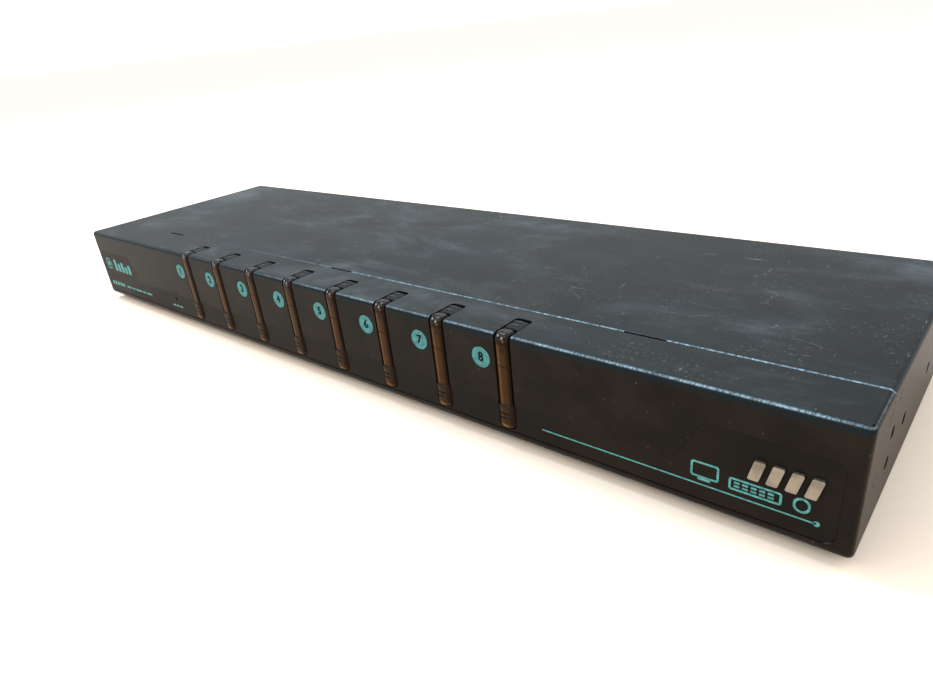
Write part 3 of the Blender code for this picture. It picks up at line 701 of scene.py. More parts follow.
def circuit_board():
    """Green solder mask over copper tracks, with tinned pads in rows."""
    look = Look("board_green")
    tracks = look.noise(4, 0, 0.5, (1.4, 0.25, 1.0))
    line = look.near(look.sum("FRACT", look.sum("MULTIPLY", tracks, 14)), 0.5, 0.22)
    shade = look.blend(line, (0.010, 0.075, 0.030), (0.022, 0.150, 0.055))
    shade = look.blend(look.ease(look.cells(5), 0.16, 0.12), shade, (0.55, 0.56, 0.54))
    return look.finish(shade, look.ease(line, 0, 1, 0.42, 0.3), look.bump(line, 0.035, 0.8))


def clear_lamp():
    """Clear epoxy with a pale die cup inside."""
    look = Look("led_clear")
    swirl = look.noise(1.2, 2)
    shade = look.blend(look.ease(swirl, 0.3, 0.7), (0.62, 0.62, 0.56), (0.80, 0.80, 0.74))
    return look.finish(shade, look.ease(swirl, 0.2, 0.8, 0.08, 0.2), look.bump(swirl, 0.01, 0.4),
                       Transmission_Weight=0.6, IOR=1.5)


CASE_STEEL = painted_steel("black_steel", case_wear)
LID_STEEL = painted_steel("black_steel_lid", lid_wear)
PANEL_STEEL = painted_steel("black_steel_rear")
FILM = printed_film()
AMBER = smoke_amber("smoke_amber")
AMBER_BEND = smoke_amber("smoke_amber_bend", shine=0.12)
AMBER_TAIL = smoke_tail()
TEAL = ink("teal_ink", (0.042, 0.178, 0.186))
PALE_TEAL = ink("pale_teal_ink", (0.060, 0.240, 0.240))
BLACK_INK = ink("black_ink", (0.003, 0.0045, 0.0045), 0.0, 0.0)
WHITE_INK = ink("white_ink", (0.62, 0.62, 0.60))
SILVER = metal("raised_silver", (0.30, 0.265, 0.215), 0.40, 0.4)
NICKEL = metal("nickel", (0.62, 0.61, 0.58), 0.26)
BLACK_PLASTIC = moulded("black_plastic", (0.018, 0.018, 0.019))
BLACK_PLASTIC_LOCAL = moulded("black_plastic_socket", (0.018, 0.018, 0.019), local=True)
RUBBER = moulded("rubber", (0.030, 0.030, 0.031), 0.8, 0.5, 0.04)
BLUE_PLASTIC = moulded("video_blue", (0.012, 0.035, 0.20), 0.4, local=True)
GREEN_PLASTIC = moulded("mouse_green", (0.035, 0.22, 0.09), 0.4, local=True)
PURPLE_PLASTIC = moulded("keyboard_purple", (0.12, 0.05, 0.22), 0.4, local=True)
BOARD = circuit_board()
LAMP = clear_lamp()


# Steel case

def side_outline(inset, shelf_end, wall_top, rear=PANEL_Y + SHEET):
    """The tray from the side: floor, rounded front wall, top shelf, and the side walls' top edge."""
    outline = [(rear, inset)]
    outline += arc((LOWER_BEND, LOWER_BEND), LOWER_BEND - inset, 270, 180)
    outline += arc((UPPER_BEND, HEIGHT - UPPER_BEND), UPPER_BEND - inset, 180, 90)
    return outline + [(shelf_end, HEIGHT - inset), (shelf_end, wall_top), (rear, wall_top)]


def mirrored(left_half):
    """An outline's left half, then the same points mirrored in the case's middle."""
    return left_half + [(WIDTH - x, z) for x, z in reversed(left_half)]


def recess_outline(inset, lift=0.0):
    """The long low band with a pad at each end, drawn in by the inset, and its lower edge lifted."""
    band_top = BAND_TOP - inset
    pad_top = PAD_TOP - inset
    left = RECESS_EDGE + inset
    left_half = [(RECESS_EDGE + PAD_FOOT_WIDTH - inset, band_top),
                 (RECESS_EDGE + PAD_TOP_WIDTH - inset, pad_top),
                 (left, pad_top), (left, RECESS_LOW + inset + lift)]
    low_radius, top_radius, step_radius = RECESS_RADII
    radii = [step_radius, step_radius, top_radius, low_radius]
    return rounded(mirrored(left_half), radii + radii[::-1])


def key_slots(shape, grow, front, band_top=None):
    """Cutters for the keys: each slot runs up the front, over the bend and back along the shelf."""
    half = SLOT_WIDTH / 2 + grow
    top = band_top or HEIGHT + 2
    square = 0.1
    for x in KEY_X.values():
        left, right = x - half, x + half
        foot = rounded([(left, SLOT_LOW), (right, SLOT_LOW), (right, top), (left, top)],
                       [SLOT_FOOT_ROUND, SLOT_FOOT_ROUND, square, square])
        prism(shape, foot, front, UPPER_BEND, "Y")
        if not band_top:
            shelf = rounded([(left, front), (right, front), (right, SLOT_REAR), (left, SLOT_REAR)],
                            [square, square, SLOT_END_ROUND, SLOT_END_ROUND])
            prism(shape, shelf, HEIGHT - 2 * UPPER_BEND, HEIGHT + 2, "Z")


def in_from(side, *depths):
    """Where depths in from the case's left (-1) or right (1) side lie, from left to right."""
    return sorted(WIDTH / 2 + side * (WIDTH / 2 - depth) for depth in depths)


def side_wall_tools(add, cut):
    """Laps that stand under the lid's flanges, and cutters for the corner slits and rack-ear holes."""
    lap_inner = 2 * SHEET + GAP
    lap_z = HEIGHT - FLANGE
    for side in (-1, 1):
        for outer, inner, low, high, ahead in (
                (SHEET / 2, lap_inner - 0.1, lap_z - 3, lap_z - GAP, 2),
                (SHEET + GAP, lap_inner, lap_z - 2, HEIGHT - SHEET - GAP, 1)):
            near, far = in_from(side, outer, inner)
            block(add, (near, SHELF_DEPTH - ahead, low), (far, PANEL_Y - ahead, high))
        near, far = in_from(side, SHEET, SHEET + CORNER_SLIT)
        block(cut, (near, UPPER_BEND, HEIGHT - 2 * SHEET), (far, SHELF_DEPTH + 1, HEIGHT + 1))
        relief = (*in_from(side, SHEET + CORNER_SLIT / 2), UPPER_BEND)
        rod(cut, relief, RELIEF_RADIUS, HEIGHT - 2 * SHEET, HEIGHT + SHEET, "Z", 24)
        for hole in EAR_HOLES:
            rod(cut, hole, EAR_HOLE_RADIUS, *in_from(side, -1, 4 * SHEET), "X", 32)


def dimples(cut, spot):
    """A small press mark on each side, with a short slit above it."""
    y, z = spot
    for side in (-1, 1):
        low, high = in_from(side, -0.3, 0.35)
        rod(cut, spot, DIMPLE_RADIUS, low, high, "X", 20)
        block(cut, (low, y - 0.2, z + 1.4), (high, y + 0.2, z + 3.4))


def tab_slits(cut, front, rear):
    """Cutters for the dark slits on the seam, over the lid's tabs."""
    half = TAB_WIDTH / 2 + GAP
    for x in TAB_X:
        block(cut, (x - half, front, HEIGHT - 2 * SHEET), (x + half, rear, HEIGHT + 1))


def screw_holes(cut, front, rear):
    """Cutters for the lid's screws."""
    for name in SCREWS:
        spot = middle(name)
        rod(cut, (spot.x, spot.z), SCREW_HOLE, front, rear, "Y", 24)


def turned_in(radius, degrees):
    """Steps of a quarter-round edge, as (distance along, distance in) from its start."""
    turns = (math.radians(degrees * step) for step in range(90 // degrees + 1))
    return [(radius * (1 - math.cos(turn)), radius * (1 - math.sin(turn))) for turn in turns]


def make_case():
    """Floor, front wall, shelf and side walls, folded from one sheet of painted steel."""
    ends = turned_in(END_ROUND, 15)
    stations = ends + [(WIDTH - depth, inset) for depth, inset in reversed(ends)]
    outside = stacked("X", [(side_outline(inset, SHELF_DEPTH, HEIGHT - FLANGE), x)
                            for x, inset in stations])
    hollow = side_outline(SHEET, SHELF_DEPTH + SHEET, HEIGHT + SHEET, LID_REAR + SHEET)
    shell = combine(solid((loft, outside)), solid((prism, hollow, SHEET, WIDTH - SHEET, "X")))
    add, cut = bmesh.new(), bmesh.new()
    side_wall_tools(add, cut)
    dimples(cut, WALL_DIMPLE)
    for x in STANDOFF_X:
        for y in STANDOFF_Y:
            rod(add, (x, y), STANDOFF_RADIUS, SHEET / 2, BOARD_FOOT - GAP, "Z", 24)
    tab_slits(cut, SHELF_DEPTH - TAB_SLIT, SHELF_DEPTH + 1)
    prism(cut, recess_outline(0), -RECESS_DEPTH, RECESS_DEPTH, "Y")
    shell = combine(shell, closed(add), "UNION")
    shell = combine(shell, closed(cut))
    pin = (rod, (RESET.x, RESET.z), PINHOLE, -2, 4, "Y", 24)
    shell = combine(shell, solid((key_slots, 0, -2), pin))
    piece("case_shell", shell, [CASE_STEEL], slot="black_steel", replaces=["chassis"], edge=0.16)


def lid_outline(inset, low):
    """The lid from the front: a flat top with a bent flange down each side."""
    bend = UPPER_BEND
    outline = [(WIDTH - inset, low)]
    outline += arc((WIDTH - bend, HEIGHT - bend), bend - inset, 0, 90)
    outline += arc((bend, HEIGHT - bend), bend - inset, 90, 180)
    return outline + [(inset, low)]


def make_lid():
    """The lid: side and rear flanges, and three tongues that hook under the shelf's rear edge."""
    low = HEIGHT - FLANGE
    stations = [(lid_outline(inset, low), LID_FRONT + ahead) for ahead, inset in turned_in(LID_EDGE, 18)]
    outside = stacked("Y", stations + [(lid_outline(0, low), LID_REAR)])
    inside = (prism, lid_outline(SHEET, low - SHEET), LID_FRONT - SHEET, LID_REAR - SHEET, "Y")
    lid = combine(solid((loft, outside)), solid(inside))
    cut = bmesh.new()
    flange_edge = 3 * SHEET
    block(cut, (flange_edge, LID_REAR - 2 * SHEET, low - 1),
          (WIDTH - flange_edge, LID_REAR + 1, HEIGHT - REAR_FLANGE))
    screw_holes(cut, LID_REAR - 3, LID_REAR + 2)
    tab_slits(cut, LID_FRONT - 1, LID_FRONT + LID_EDGE)
    dimples(cut, FLANGE_DIMPLE)
    lid = combine(lid, closed(cut))
    add = bmesh.new()
    tab_top = HEIGHT - SHEET - TAB_DROP
    half = TAB_WIDTH / 2
    for x in TAB_X:
        block(add, (x - half, SHELF_DEPTH - TAB_REACH, tab_top - SHEET),
              (x + half, LID_FRONT + 4, tab_top))
        block(add, (x - half + 0.1, LID_FRONT + LID_EDGE + 0.1, tab_top - SHEET / 2),
              (x + half - 0.1, LID_FRONT + 3.5, HEIGHT - SHEET / 2))
    lid = combine(lid, closed(add), "UNION")
    piece("lid", lid, [LID_STEEL], slot="black_steel", replaces=["top_cover"], edge=0.2)


def make_rear_wall():
    """The rear wall, stepped in beside the laps, with its openings and a folded top edge."""
    wide = SHEET + GAP
    narrow = 2 * wide
    top = HEIGHT - SHEET - GAP
    step_z = HEIGHT - FLANGE - 3 - GAP
    outline = mirrored([(narrow, top), (narrow, step_z), (wide, step_z), (wide, wide)])
    edge = narrow + 6
    fold = (block, (edge, PANEL_Y - 9, top - SHEET), (WIDTH - edge, PANEL_Y + SHEET / 2, top))
    wall = combine(solid((prism, outline, PANEL_Y, PANEL_Y + SHEET, "Y")), solid(fold), "UNION")
    cut = bmesh.new()
    for channel in PORTS:
        spot = middle(f"vga_port_{channel}")
        opening = [(spot.x + x, spot.z + z) for x, z in shell_outline(0.5)]
        prism(cut, opening, PANEL_Y - 2, PANEL_Y + 4, "Y")
        window(cut, f"ps2_port_{channel}")
    window(cut, "dc_jack")
    screw_holes(cut, PANEL_Y - 2, PANEL_Y + 4)
    wall = combine(wall, closed(cut))
    piece("rear_wall", wall, [PANEL_STEEL], slot="black_steel", replaces=["rear_panel"], edge=0.12)


def window(shape, node):
    """A cutter for a rectangular opening round a socket."""
    low, high = span(node)
    outline = rectangle((low.x - GAP, low.z - GAP), (high.x + GAP, high.z + GAP), 0.4, 3)
    prism(shape, outline, PANEL_Y - 2, PANEL_Y + 4, "Y")


def make_film():
    """The printed film in the recess, notched for the keys and pierced for the reset pin."""
    film = solid((prism, recess_outline(FILM_CLEARANCE, FILM_LIFT), FILM_FRONT, FILM_BACK, "Y"))
    notches = solid((key_slots, GAP / 2, -2, BAND_TOP + 2),
                    (rod, (RESET.x, RESET.z), PINHOLE + 0.2, -2, 4, "Y", 24))
    film = combine(film, notches)
    piece("front_film", film, [FILM], slot="black_film", replaces=["front_overlay"], edge=0.05)


# Keys

ACROSS = [-math.cos(math.pi * step / 22) for step in range(23)]


def bell(value, centre, width):
    """1 at the centre, and 0 from width away, with a rounded top."""
    away = min(1.0, abs(value - centre) / width)
    return (1 - away * away) ** 2


def step_up(value, low, high):
    """0 up to low, 1 from high, and smooth between."""
    share = min(1.0, max(0.0, (value - low) / (high - low)))
    return share * share * (3 - 2 * share)


def pulled_in(radius, past):
    """How far a rounded end has drawn in, at a distance past the start of its curve."""
    return radius - math.sqrt(max(0.0, radius ** 2 - max(0.0, past) ** 2))


def crowned(share, drop):
    """How far a crowned face has fallen at a share of its half width."""
    return drop * (1 - (1 - abs(share) ** 3) ** (1 / 3))


def key_loop(back, outward, thickness, half, drop, dent=None):
    """One cross-section of a key, about the hinge: crowned face first, then the flat back."""
    loop = [(share * half, thickness - crowned(share, drop) - (dent(share) if dent else 0))
            for share in ACROSS]
    loop += [(half, 0.15), (half - 0.15, 0), (0.15 - half, 0), (-half, 0.15)]
    return [(x, back[0] + outward[0] * rise - HINGE_Y, back[1] + outward[1] * rise - HINGE_Z)
            for x, rise in loop]


def front_loop(z):
    """The key's cross-section at a height on its front: thumb, then strip."""
    strip = step_up(z, THUMB_TOP - 0.5, THUMB_TOP + 0.5)
    face = THUMB_FACE + pulled_in(TIP_ROUND, KEY_TIP + TIP_ROUND - z)
    face += strip * (-KEY_PROUD - THUMB_FACE)
    back = KEY_BACK - max(0.0, KEY_TIP + 0.6 - z)
    slim = (THUMB_WIDTH - KEY_WIDTH) / 2 * step_up(z, THUMB_TOP - 0.4, THUMB_TOP + 0.9)
    half = THUMB_WIDTH / 2 - slim - pulled_in(THUMB_ROUND, KEY_TIP + THUMB_ROUND - z)

    def dent(share):
        left = step_up(-share, -0.45, -0.15)
        thumb = sum(bell(z + 0.25 * share * share, groove, 0.45) for groove in THUMB_GROOVES)
        waist = bell(z, THUMB_TOP + 0.3, 0.5)
        line = bell(z - 0.45 * share * share, STRIP_GROOVE, 0.32)
        return 0.55 * thumb * left + 0.3 * waist + 0.2 * line

    drop = KEY_CROWN + (1 - strip) * (THUMB_CROWN - KEY_CROWN)
    return key_loop((back, z), (-1, 0), back - face, half, min(drop, 0.75 * (back - face)), dent)


def key_mesh():
    """One key about its hinge: ribbed thumb, crowned strip, bend and arched end, with lug and nub."""
    loops = []
    z = KEY_TIP
    bend_z = HEIGHT - UPPER_BEND
    while z < bend_z - 0.01:
        loops.append(front_loop(z))
        fine = z < THUMB_TOP + 1.2 or abs(z - STRIP_GROOVE) < 1.0
        z += 0.05 if z < KEY_TIP + 0.5 else 0.16 if fine else 0.8
    inner = KEY_BACK - UPPER_BEND
    half = KEY_WIDTH / 2
    for step in range(17):
        angle = math.radians(180 - 90 * step / 16)
        outward = (math.cos(angle), math.sin(angle))
        back = (UPPER_BEND - inner * outward[0], bend_z - inner * outward[1])
        loops.append(key_loop(back, outward, KEY_THICKNESS, half, KEY_CROWN))
    for share, fall in ((0.3, 0), (0.5, 0.02), (0.65, 0.08), (0.8, 0.2), (0.92, 0.4), (1.0, 0.65)):
        flat = key_loop((UPPER_BEND, bend_z - inner), (0, 1), KEY_THICKNESS - fall, half, KEY_CROWN)
        reach = GROOVE_FRONT - UPPER_BEND
        loops.append([(x, y + share * (reach - HINGE_ARCH * (2 * x / KEY_WIDTH) ** 2), z)
                      for x, y, z in flat])
    nub = middle("key_switch_1").z - HINGE_Z
    lug = (block, (-4.8, SHEET + GAP - HINGE_Y, 18 - HINGE_Z),
           (4.8, KEY_BACK + 0.2 - HINGE_Y, 20 - HINGE_Z))
    pad = (rod, (0, nub), 1.5, KEY_BACK - GAP - HINGE_Y, KEY_BACK + 1.2 - HINGE_Y, "Y", 24)
    key = combine(solid((loft, loops)), solid(lug, pad), "UNION")
    for face in key.polygons:
        face.material_index = int(face.center.z > GLOSS_FROM - HINGE_Z)
    return key


def make_keys():
    """Eight keys that swing on their hinge grooves, each on its own body."""
    mesh = key_mesh()
    for channel, x in KEY_X.items():
        piece(f"key_cap_{channel}", mesh, [AMBER, AMBER_BEND], f"key_{channel}", "smoke_amber",
              [f"key_{channel}"], origin=(x, HINGE_Y, HINGE_Z))


def tail_loops(x):
    """The fixed rear end of a key's strip, in its slot: arched front, two low ridges, rounded rear."""
    rear = SLOT_REAR - 1.2
    foot = HEIGHT - 2.3
    steps = 56
    loops = []
    for step in range(steps + 1):
        y = GROOVE_REAR + step / steps * (rear - GROOVE_REAR)
        half = TAIL_WIDTH / 2 - pulled_in(TIP_ROUND, TIP_ROUND - (rear - y))
        fall = 0.3 * bell(y, GROOVE_REAR, 0.35) + 0.5 * bell(y, rear, 0.6)
        loop = []
        for share in ACROSS:
            left = step_up(-share, -0.5, -0.1)
            ridges = sum(bell(y + 0.5 * share * share, ridge, 0.5) for ridge in TAIL_RIDGES)
            top = HEIGHT - 0.05 + 0.3 * ridges * left - crowned(share, 0.45) - fall
            arch = HINGE_ARCH * share * share * (1 - step_up(y, GROOVE_REAR, GROOVE_REAR + 2))
            loop.append((x + share * half, y - arch, top))
        loops.append(loop + [(x + half, y, foot), (x - half, y, foot)])
    return loops


def make_key_rail():
    """The rail under the shelf, with the fixed rear end of each key standing on it."""
    low, high = span("key_carrier")
    rail = solid((block, (low.x, 6.5, low.z), (high.x, high.y, HEIGHT - SHEET - TAB_DROP)))
    tails = solid(*((loft, tail_loops(x)) for x in KEY_X.values()))
    rail = combine(rail, tails, "UNION")
    piece("key_rail", rail, [AMBER_TAIL], slot="smoke_amber", replaces=["key_carrier"])


# Print and badge

PRINT = 0.04


def printed(name, outlines, finish, surface=0.0, proud=PRINT, **looks):
    """Flat shapes proud of the front, from (x, z) outlines, or frames from pairs of outlines."""
    shape = bmesh.new()
    for outline in outlines:
        if isinstance(outline[0][0], tuple):
            band(shape, *outline, surface - proud, surface + 0.02)
        else:
            prism(shape, outline, surface - proud, surface + 0.02, "Y")
    piece(name, closed(shape), [finish], **looks)


def band(shape, outer, inner, low, high):
    """A closed frame, from front to rear, between two outlines with equal counts of points."""
    loops = stacked("Y", ((outer, low), (outer, high), (inner, high), (inner, low)))
    rows = [[shape.verts.new(spot) for spot in loop] for loop in loops]
    skin(shape, rows + rows[:1])


def digit_mesh(text, size, spot, facing=0, stroke=0.0):
    """A digit as a thin solid, centred on a place on the front, or on the rear if facing is 180."""
    curve = bpy.data.curves.new("digit", "FONT")
    curve.body = text
    curve.size = size
    curve.extrude = 0.03
    curve.offset = stroke
    curve.resolution_u = 6
    curve.align_x = "CENTER"
    curve.align_y = "CENTER"
    shape = bmesh.new()
    shape.from_mesh(evaluated(in_scene(curve)))
    bmesh.ops.remove_doubles(shape, verts=shape.verts, dist=0.0005)
    turn = Matrix.Rotation(math.radians(facing), 4, "Z") @ Matrix.Rotation(math.pi / 2, 4, "X")
    bmesh.ops.transform(shape, matrix=Matrix.Translation(spot) @ turn, verts=shape.verts)
    return closed(shape)


DISC_SHIFT = -9.2
DISC_DRIFT = 0.1
DISC_Z = 31.25
DISC_RADIUS = 4.04
RIM = 0.3
DIGIT_SIZE = 4.9


def make_channel_marks():
    """A teal disc with a dark rim and its channel's digit, to the left of each key."""
    discs, rims, digits = [], [], []
    for index, (channel, key) in enumerate(KEY_X.items()):
        centre = (key + DISC_SHIFT - DISC_DRIFT * index, DISC_Z)
        discs.append(ring(centre, DISC_RADIUS, 48))
        rims.append(ring(centre, DISC_RADIUS + RIM, 48))
        digits.append((0, digit_mesh(channel, DIGIT_SIZE, (centre[0], -0.07, centre[1]), stroke=0.15)))
    printed("channel_rims", rims, BLACK_INK, 0, 0.02)
    printed("channel_discs", discs, TEAL, 0, 0.05)
    piece("channel_digits", joined(digits), [BLACK_INK])


def capsule(low, high):
    """A rectangle's outline with fully rounded ends."""
    radius = 0.49 * min(high[0] - low[0], high[1] - low[1])
    return rectangle(low, high, radius)


def make_front_print():
    """Teal print on the film: a rule with a dot, three devices, and plain marks for the lettering."""
    rule, emblem = 9.3, (10.9, 22.4)
    marks = [capsule((343.3, rule - 0.25), (430.5, rule + 0.25)), ring((430.5, rule), 0.85)]
    marks += [capsule((6.5 + 3.6 * index, 8.0), (9.3 + 3.6 * index, 10.6)) for index in range(5)]
    for low, high, dashes in ((8.6, 9.7, ((27, 33), (34.2, 38), (39.2, 47), (48.2, 52.5), (53.7, 60))),
                              (7.4, 8.4, ((85.5, 88.5), (89.3, 92.4), (93.2, 96.5)))):
        marks += [capsule((start, low), (end, high)) for start, end in dashes]
    for index, height in enumerate((7.4, 5.2, 6.4, 4.2, 5.8)):
        marks.append(rectangle((18.5 + 4.6 * index, 18.6), (21.7 + 4.6 * index, 18.6 + height), 0.5))
    marks.append(ring(emblem, 1.7, 6))
    monitor, board, mouse = (395.8, 11.7), (407.0, 11.2), (424.2, 11.2)
    left, foot = monitor
    marks.append(rectangle((left + 2.2, foot - 0.9), (left + 6.0, foot + 0.1), 0.1))
    for row in range(2):
        for column in range(5):
            low = (board[0] + 1.5 + 2.3 * column, board[1] + 1.15 + 1.2 * row)
            marks.append(rectangle(low, (low[0] + 1.6, low[1] + 0.7), 0.1))
    printed("front_print", marks, PALE_TEAL, FILM_FRONT)
    frames = []
    line = 0.65
    for low, high, radius in ((monitor, (404.2, 17.2), 0.9), (board, (421.4, 15.4), 0.8),
                              (mouse, (428.6, 16.0), 2.0)):
        inner = rectangle((low[0] + line, low[1] + line), (high[0] - line, high[1] - line), radius - 0.4)
        frames.append((rectangle(low, high, radius), inner))
    frames.append((ring(emblem, 4.0, 6), ring(emblem, 3.1, 6)))
    printed("front_pictograms", frames, PALE_TEAL, FILM_FRONT)


def make_badge():
    """Four plain slanted bars on the right-hand pad: a black moulded body under a silver face."""
    low, high, lean = 17.2, 23.7, 1.6
    bars = []
    for index in range(4):
        x = 412.0 + 4.9 * index
        bar = [(x, low), (x + 3.1, low), (x + 3.1 + lean, high), (x + lean, high)]
        bars.append(rounded(bar, [0.5] * 4, 4))
    printed("badge_bodies", bars, BLACK_PLASTIC, FILM_FRONT, 0.85, slot="black_plastic")
    printed("badge_faces", bars, SILVER, FILM_FRONT - 0.84, 0.12, edge=0.05, slot="nickel")


# Rear

def shell_outline(grow):
    """The D shape of a video connector about its middle, grown by an amount all round."""
    low, high, half = VGA_HALF_LOW, VGA_HALF_HIGH, VGA_HEIGHT / 2 + grow
    corners = [(-low - grow, -half), (low + grow, -half), (high + grow, half), (-high - grow, half)]
    return rounded(corners, [2.2 + grow] * 4)


def hexagon(centre, radius, count):
    """A hexagon's outline of count points."""
    corners = ring(centre, radius, 6)
    points = []
    for index in range(count):
        share, side = math.modf(index * 6 / count)
        first, second = Vector(corners[int(side)]), Vector(corners[(int(side) + 1) % 6])
        points.append(tuple(first.lerp(second, share)))
    return points


def video_mesh():
    """A 15-way video socket about the panel's inner face, with two hexagonal posts."""
    low, high = span("vga_port_1")
    front, end = low.y - PANEL_Y, PORT_END - PANEL_Y
    half_high = (high.z - low.z) / 2
    metal_parts = bmesh.new()
    for half, radius, near, far in ((12.7, 0.4, front, -1.2), (15.4, 1.2, -1.3, -GAP)):
        prism(metal_parts, rectangle((-half, -half_high), (half, half_high), radius), near, far, "Y")
    band(metal_parts, shell_outline(0), shell_outline(-0.45), -0.8, end)
    nut = SHEET + 0.5
    for side in (-1, 1):
        centre = (side * 12.5, 0)
        bore = ring(centre, 1.3, 24)
        band(metal_parts, ring(centre, 2.9, 24), bore, -0.6, nut)
        band(metal_parts, hexagon(centre, 2.9, 24), bore, nut, end - 0.6)
    holes = bmesh.new()
    for row in (-1, 0, 1):
        stagger = -0.57 if row else 0.57
        for column in range(-2, 3):
            rod(holes, (column * 2.29 + stagger, row * 1.98), 0.55, end - 4, end + 1, "Y", 12)
    insert = combine(solid((prism, shell_outline(-0.55), -0.7, end - 1.3, "Y")), closed(holes))
    return joined([(0, closed(metal_parts)), (1, insert)])


def round_port_mesh():
    """Two round six-way sockets in one block, about the panel's inner face and the block's foot."""
    low, high = span("ps2_port_1")
    front, end, height, half = low.y - PANEL_Y, high.y - PANEL_Y, high.z - low.z, (high.x - low.x) / 2
    cups, rings = bmesh.new(), bmesh.new()
    inserts = []
    for z in PS2_CENTRES:
        rod(cups, (0, z), 5.0, end - 5.5, end + 1, "Y", 48)
        band(rings, ring((0, z), 4.95, 48), ring((0, z), 4.6, 48), end - 5.4, end + 0.5)
        core = solid((rod, (0, z), 3.9, end - 5.45, end - 0.1, "Y", 40))
        holes = bmesh.new()
        for x, rise in PS2_PINS:
            rod(holes, (x, z + rise), 0.48, end - 4, end + 1, "Y", 12)
        block(holes, (-0.65, end - 4, z + 0.5), (0.65, end + 1, z + 2.5))
        inserts.append(combine(core, closed(holes)))
    body = solid((prism, rectangle((-half, 0), (half, height), 0.5, 4), front, end, "Y"))
    body = combine(body, closed(cups))
    return joined([(0, body), (1, closed(rings)), (2, inserts[0]), (3, inserts[1])])


def make_ports():
    """The console's and each channel's sockets, and the power jack."""
    video, double = video_mesh(), round_port_mesh()
    for channel in PORTS:
        node = f"vga_port_{channel}"
        spot = middle(node)
        piece(f"video_socket_{channel}", video, [NICKEL, BLUE_PLASTIC], slot="nickel", replaces=[node],
              origin=(spot.x, PANEL_Y, spot.z))
        node = f"ps2_port_{channel}"
        finishes = [BLACK_PLASTIC_LOCAL, NICKEL, PURPLE_PLASTIC, GREEN_PLASTIC]
        piece(f"round_sockets_{channel}", double, finishes, slot="black_plastic", replaces=[node],
              origin=(middle(node).x, PANEL_Y, span(node)[0].z))
    low, high = span("dc_jack")
    spot = middle("dc_jack")
    end = high.y
    jack = solid((prism, rectangle((low.x, low.z), (high.x, high.z), 0.5, 4), low.y, end, "Y"))
    jack = combine(jack, solid((rod, (spot.x, spot.z), 3.2, end - 9, end + 1, "Y", 40)))
    profile = [(0, end - 9.5), (1.0, end - 9.5), (1.0, end - 1.6), (0.6, end - 1.0), (0, end - 1.0)]
    pin = spun(profile, (spot.x, spot.z), "Y", 24)
    piece("power_jack", joined([(0, jack), (1, pin)]), [BLACK_PLASTIC, NICKEL], slot="black_plastic",
          replaces=["dc_jack"], edge=0.08)


def make_rear_marks():
    """A white digit above each channel's sockets, and a plain bar above the console's."""
    rear = PANEL_Y + SHEET
    marks = []
    for channel in CHANNELS:
        x = middle(f"vga_port_{channel}").x
        marks.append((0, digit_mesh(channel, 6.5, (x, rear + 0.02, 27), 180)))
    x = middle("vga_port_console").x
    bar = capsule((x - 6, 26.2), (x + 6, 27.6))
    marks.append((0, solid((prism, bar, rear - 0.01, rear + 0.05, "Y"))))
    piece("rear_marks", joined(marks), [WHITE_INK])


# Screws and feet

def make_screws():
    """Pan-head lid screws with a cross recess."""
    for name in SCREWS:
        low, high = span(name)
        spot = middle(name)
        end = high.y
        head = (high.x - low.x) / 2
        profile = [(0, low.y), (1.3, low.y + 0.4), (1.3, end - 2.0), (head - 0.1, end - 2.0),
                   (head, end - 1.8), (head - 0.15, end - 1.1), (head - 0.7, end - 0.45),
                   (head - 1.5, end - 0.1), (0.6, end), (0, end)]
        screw = spun(profile, (spot.x, spot.z), "Y")
        for wide, tall in ((0.32, 1.5), (1.5, 0.32)):
            arm = (block, (spot.x - wide, end - 1.1, spot.z - tall),
                   (spot.x + wide, end + 1, spot.z + tall))
            screw = combine(screw, solid(arm))
        piece(f"lid_screw_{name.split('_')[-1]}", screw, [NICKEL], slot="nickel", replaces=[name])


def make_feet():
    """Moulded rubber feet with a rounded rim and a shallow dish in the sole."""
    for node in ("foot_front_left", "foot_front_right", "foot_rear_left", "foot_rear_right"):
        low, high = span(node)
        spot = middle(node)
        radius = (high.x - low.x) / 2
        profile = [(0, high.z), (radius, high.z), (radius, low.z + 1.6), (radius - 0.15, low.z + 0.9),
                   (radius - 0.6, low.z + 0.25), (radius - 1.3, low.z), (radius - 2.4, low.z),
                   (radius - 3.0, low.z + 0.25), (0, low.z + 0.3)]
        foot = spun(profile, (spot.x, spot.y), "Z", 64)
        piece(f"rubber_{node}", foot, [RUBBER], slot="rubber", replaces=[node])


def dress_inside():
    """Materials for the CAD nodes that stay: boards, switches, lamps, chip and reset parts."""
    looks = {"link": BLACK_PLASTIC, "chip": BLACK_PLASTIC, "switch": BLACK_PLASTIC, "led": LAMP,
             "plunger": NICKEL, "board": BOARD}
    for name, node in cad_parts.items():
        if not node.hide_render:
            node.data.materials.clear()
            node.data.materials.append(next(look for word, look in looks.items() if word in name))


make_case()
make_lid()
make_rear_wall()
make_film()
make_keys()
make_key_rail()
make_channel_marks()
make_front_print()
make_badge()
make_ports()
make_rear_marks()
make_screws()
make_feet()
dress_inside()


# Floor, light and camera

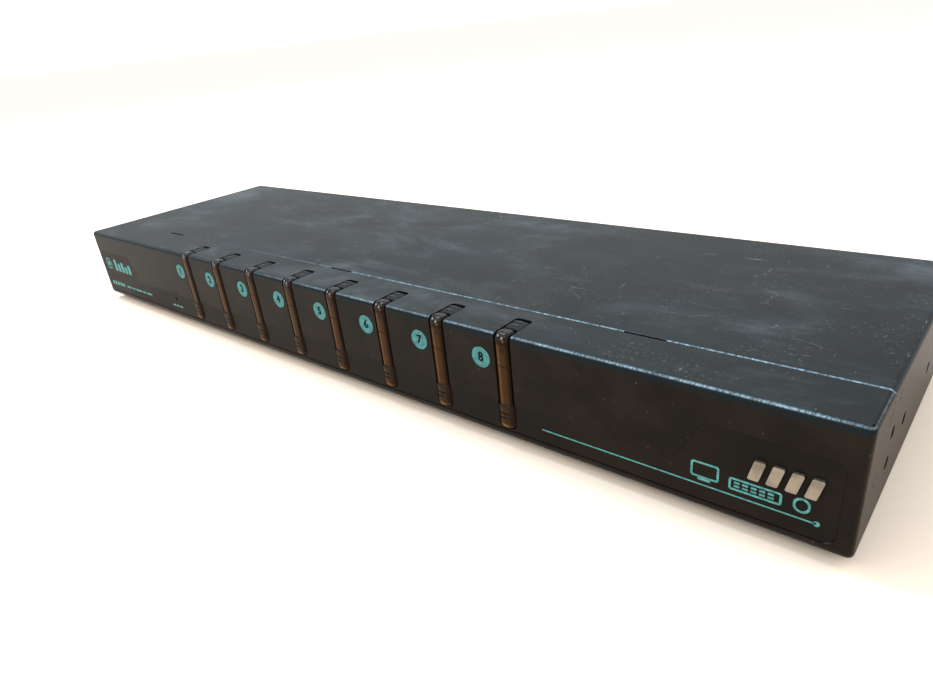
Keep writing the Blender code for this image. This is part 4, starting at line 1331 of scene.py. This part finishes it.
def make_floor():
    """A plain pale floor under the feet."""
    shape = bmesh.new()
    bmesh.ops.create_grid(shape, x_segments=1, y_segments=1, size=30)
    mesh = as_mesh(shape)
    floor = in_scene(mesh, "floor")
    floor.location.z = CAD_BOX[0].z
    look = Look("pale_floor")
    cloud = look.noise(400, 2)
    colour = look.blend(look.ease(cloud, 0.3, 0.7), (0.90, 0.845, 0.775), (0.92, 0.865, 0.795))
    mesh.materials.append(look.finish(colour, 0.7))


def make_lamp(name, spot, target, size, power, colour):
    """A soft square lamp at a place, aimed at another, in metres."""
    light = bpy.data.lights.new(name, "AREA")
    light.shape = "RECTANGLE"
    light.size, light.size_y = size
    light.energy = power
    light.color = colour
    lamp = in_scene(light, name)
    lamp.location = spot
    lamp.rotation_mode = "QUATERNION"
    lamp.rotation_quaternion = (Vector(target) - Vector(spot)).to_track_quat("-Z", "Y")


def make_light():
    """Cool window light from behind and above, and a weak warm fill from the front and right."""
    make_lamp("window", (-0.75, -0.05, 1.45), (0.05, 0, 0.03), (0.45, 0.6), 14, (0.86, 0.94, 1.0))
    make_lamp("ceiling", (-0.5, 1.2, 1.2), (0, 0, 0), (1.0, 0.8), 4, (0.80, 0.92, 1.0))
    make_lamp("warm_side", (0.9, 0.2, 0.7), (0.5, 0.1, 0.0), (0.6, 0.6), 2.5, (1.0, 0.64, 0.32))
    make_lamp("warm_front", (-0.4, -0.8, 0.8), (-0.25, -0.3, 0.0), (1.2, 0.6), 7, (1.0, 0.77, 0.52))
    world = bpy.data.worlds.new("studio")
    world.use_nodes = True
    backdrop = world.node_tree.nodes["Background"]
    backdrop.inputs["Color"].default_value = (0.97, 0.985, 1.0, 1)
    backdrop.inputs["Strength"].default_value = 1.15
    bpy.context.scene.world = world
    bpy.context.scene.view_settings.view_transform = "Standard"


CAMERA_SPOT = (458.83, -157.76, 137.37)
CAMERA_TURN = (63.897, 5.785, 40.105)
CAMERA_LENS = 25.878


def make_camera():
    """The photograph's point of view: close, low and to the right of the front."""
    camera = bpy.data.cameras.new("camera")
    camera.lens = CAMERA_LENS
    camera.clip_start = 0.01
    eye = in_scene(camera, "camera")
    eye.location = CASE + Vector(CAMERA_SPOT) * MM
    eye.rotation_euler = Euler([math.radians(angle) for angle in CAMERA_TURN])
    bpy.context.scene.camera = eye


make_floor()
make_light()
make_camera()
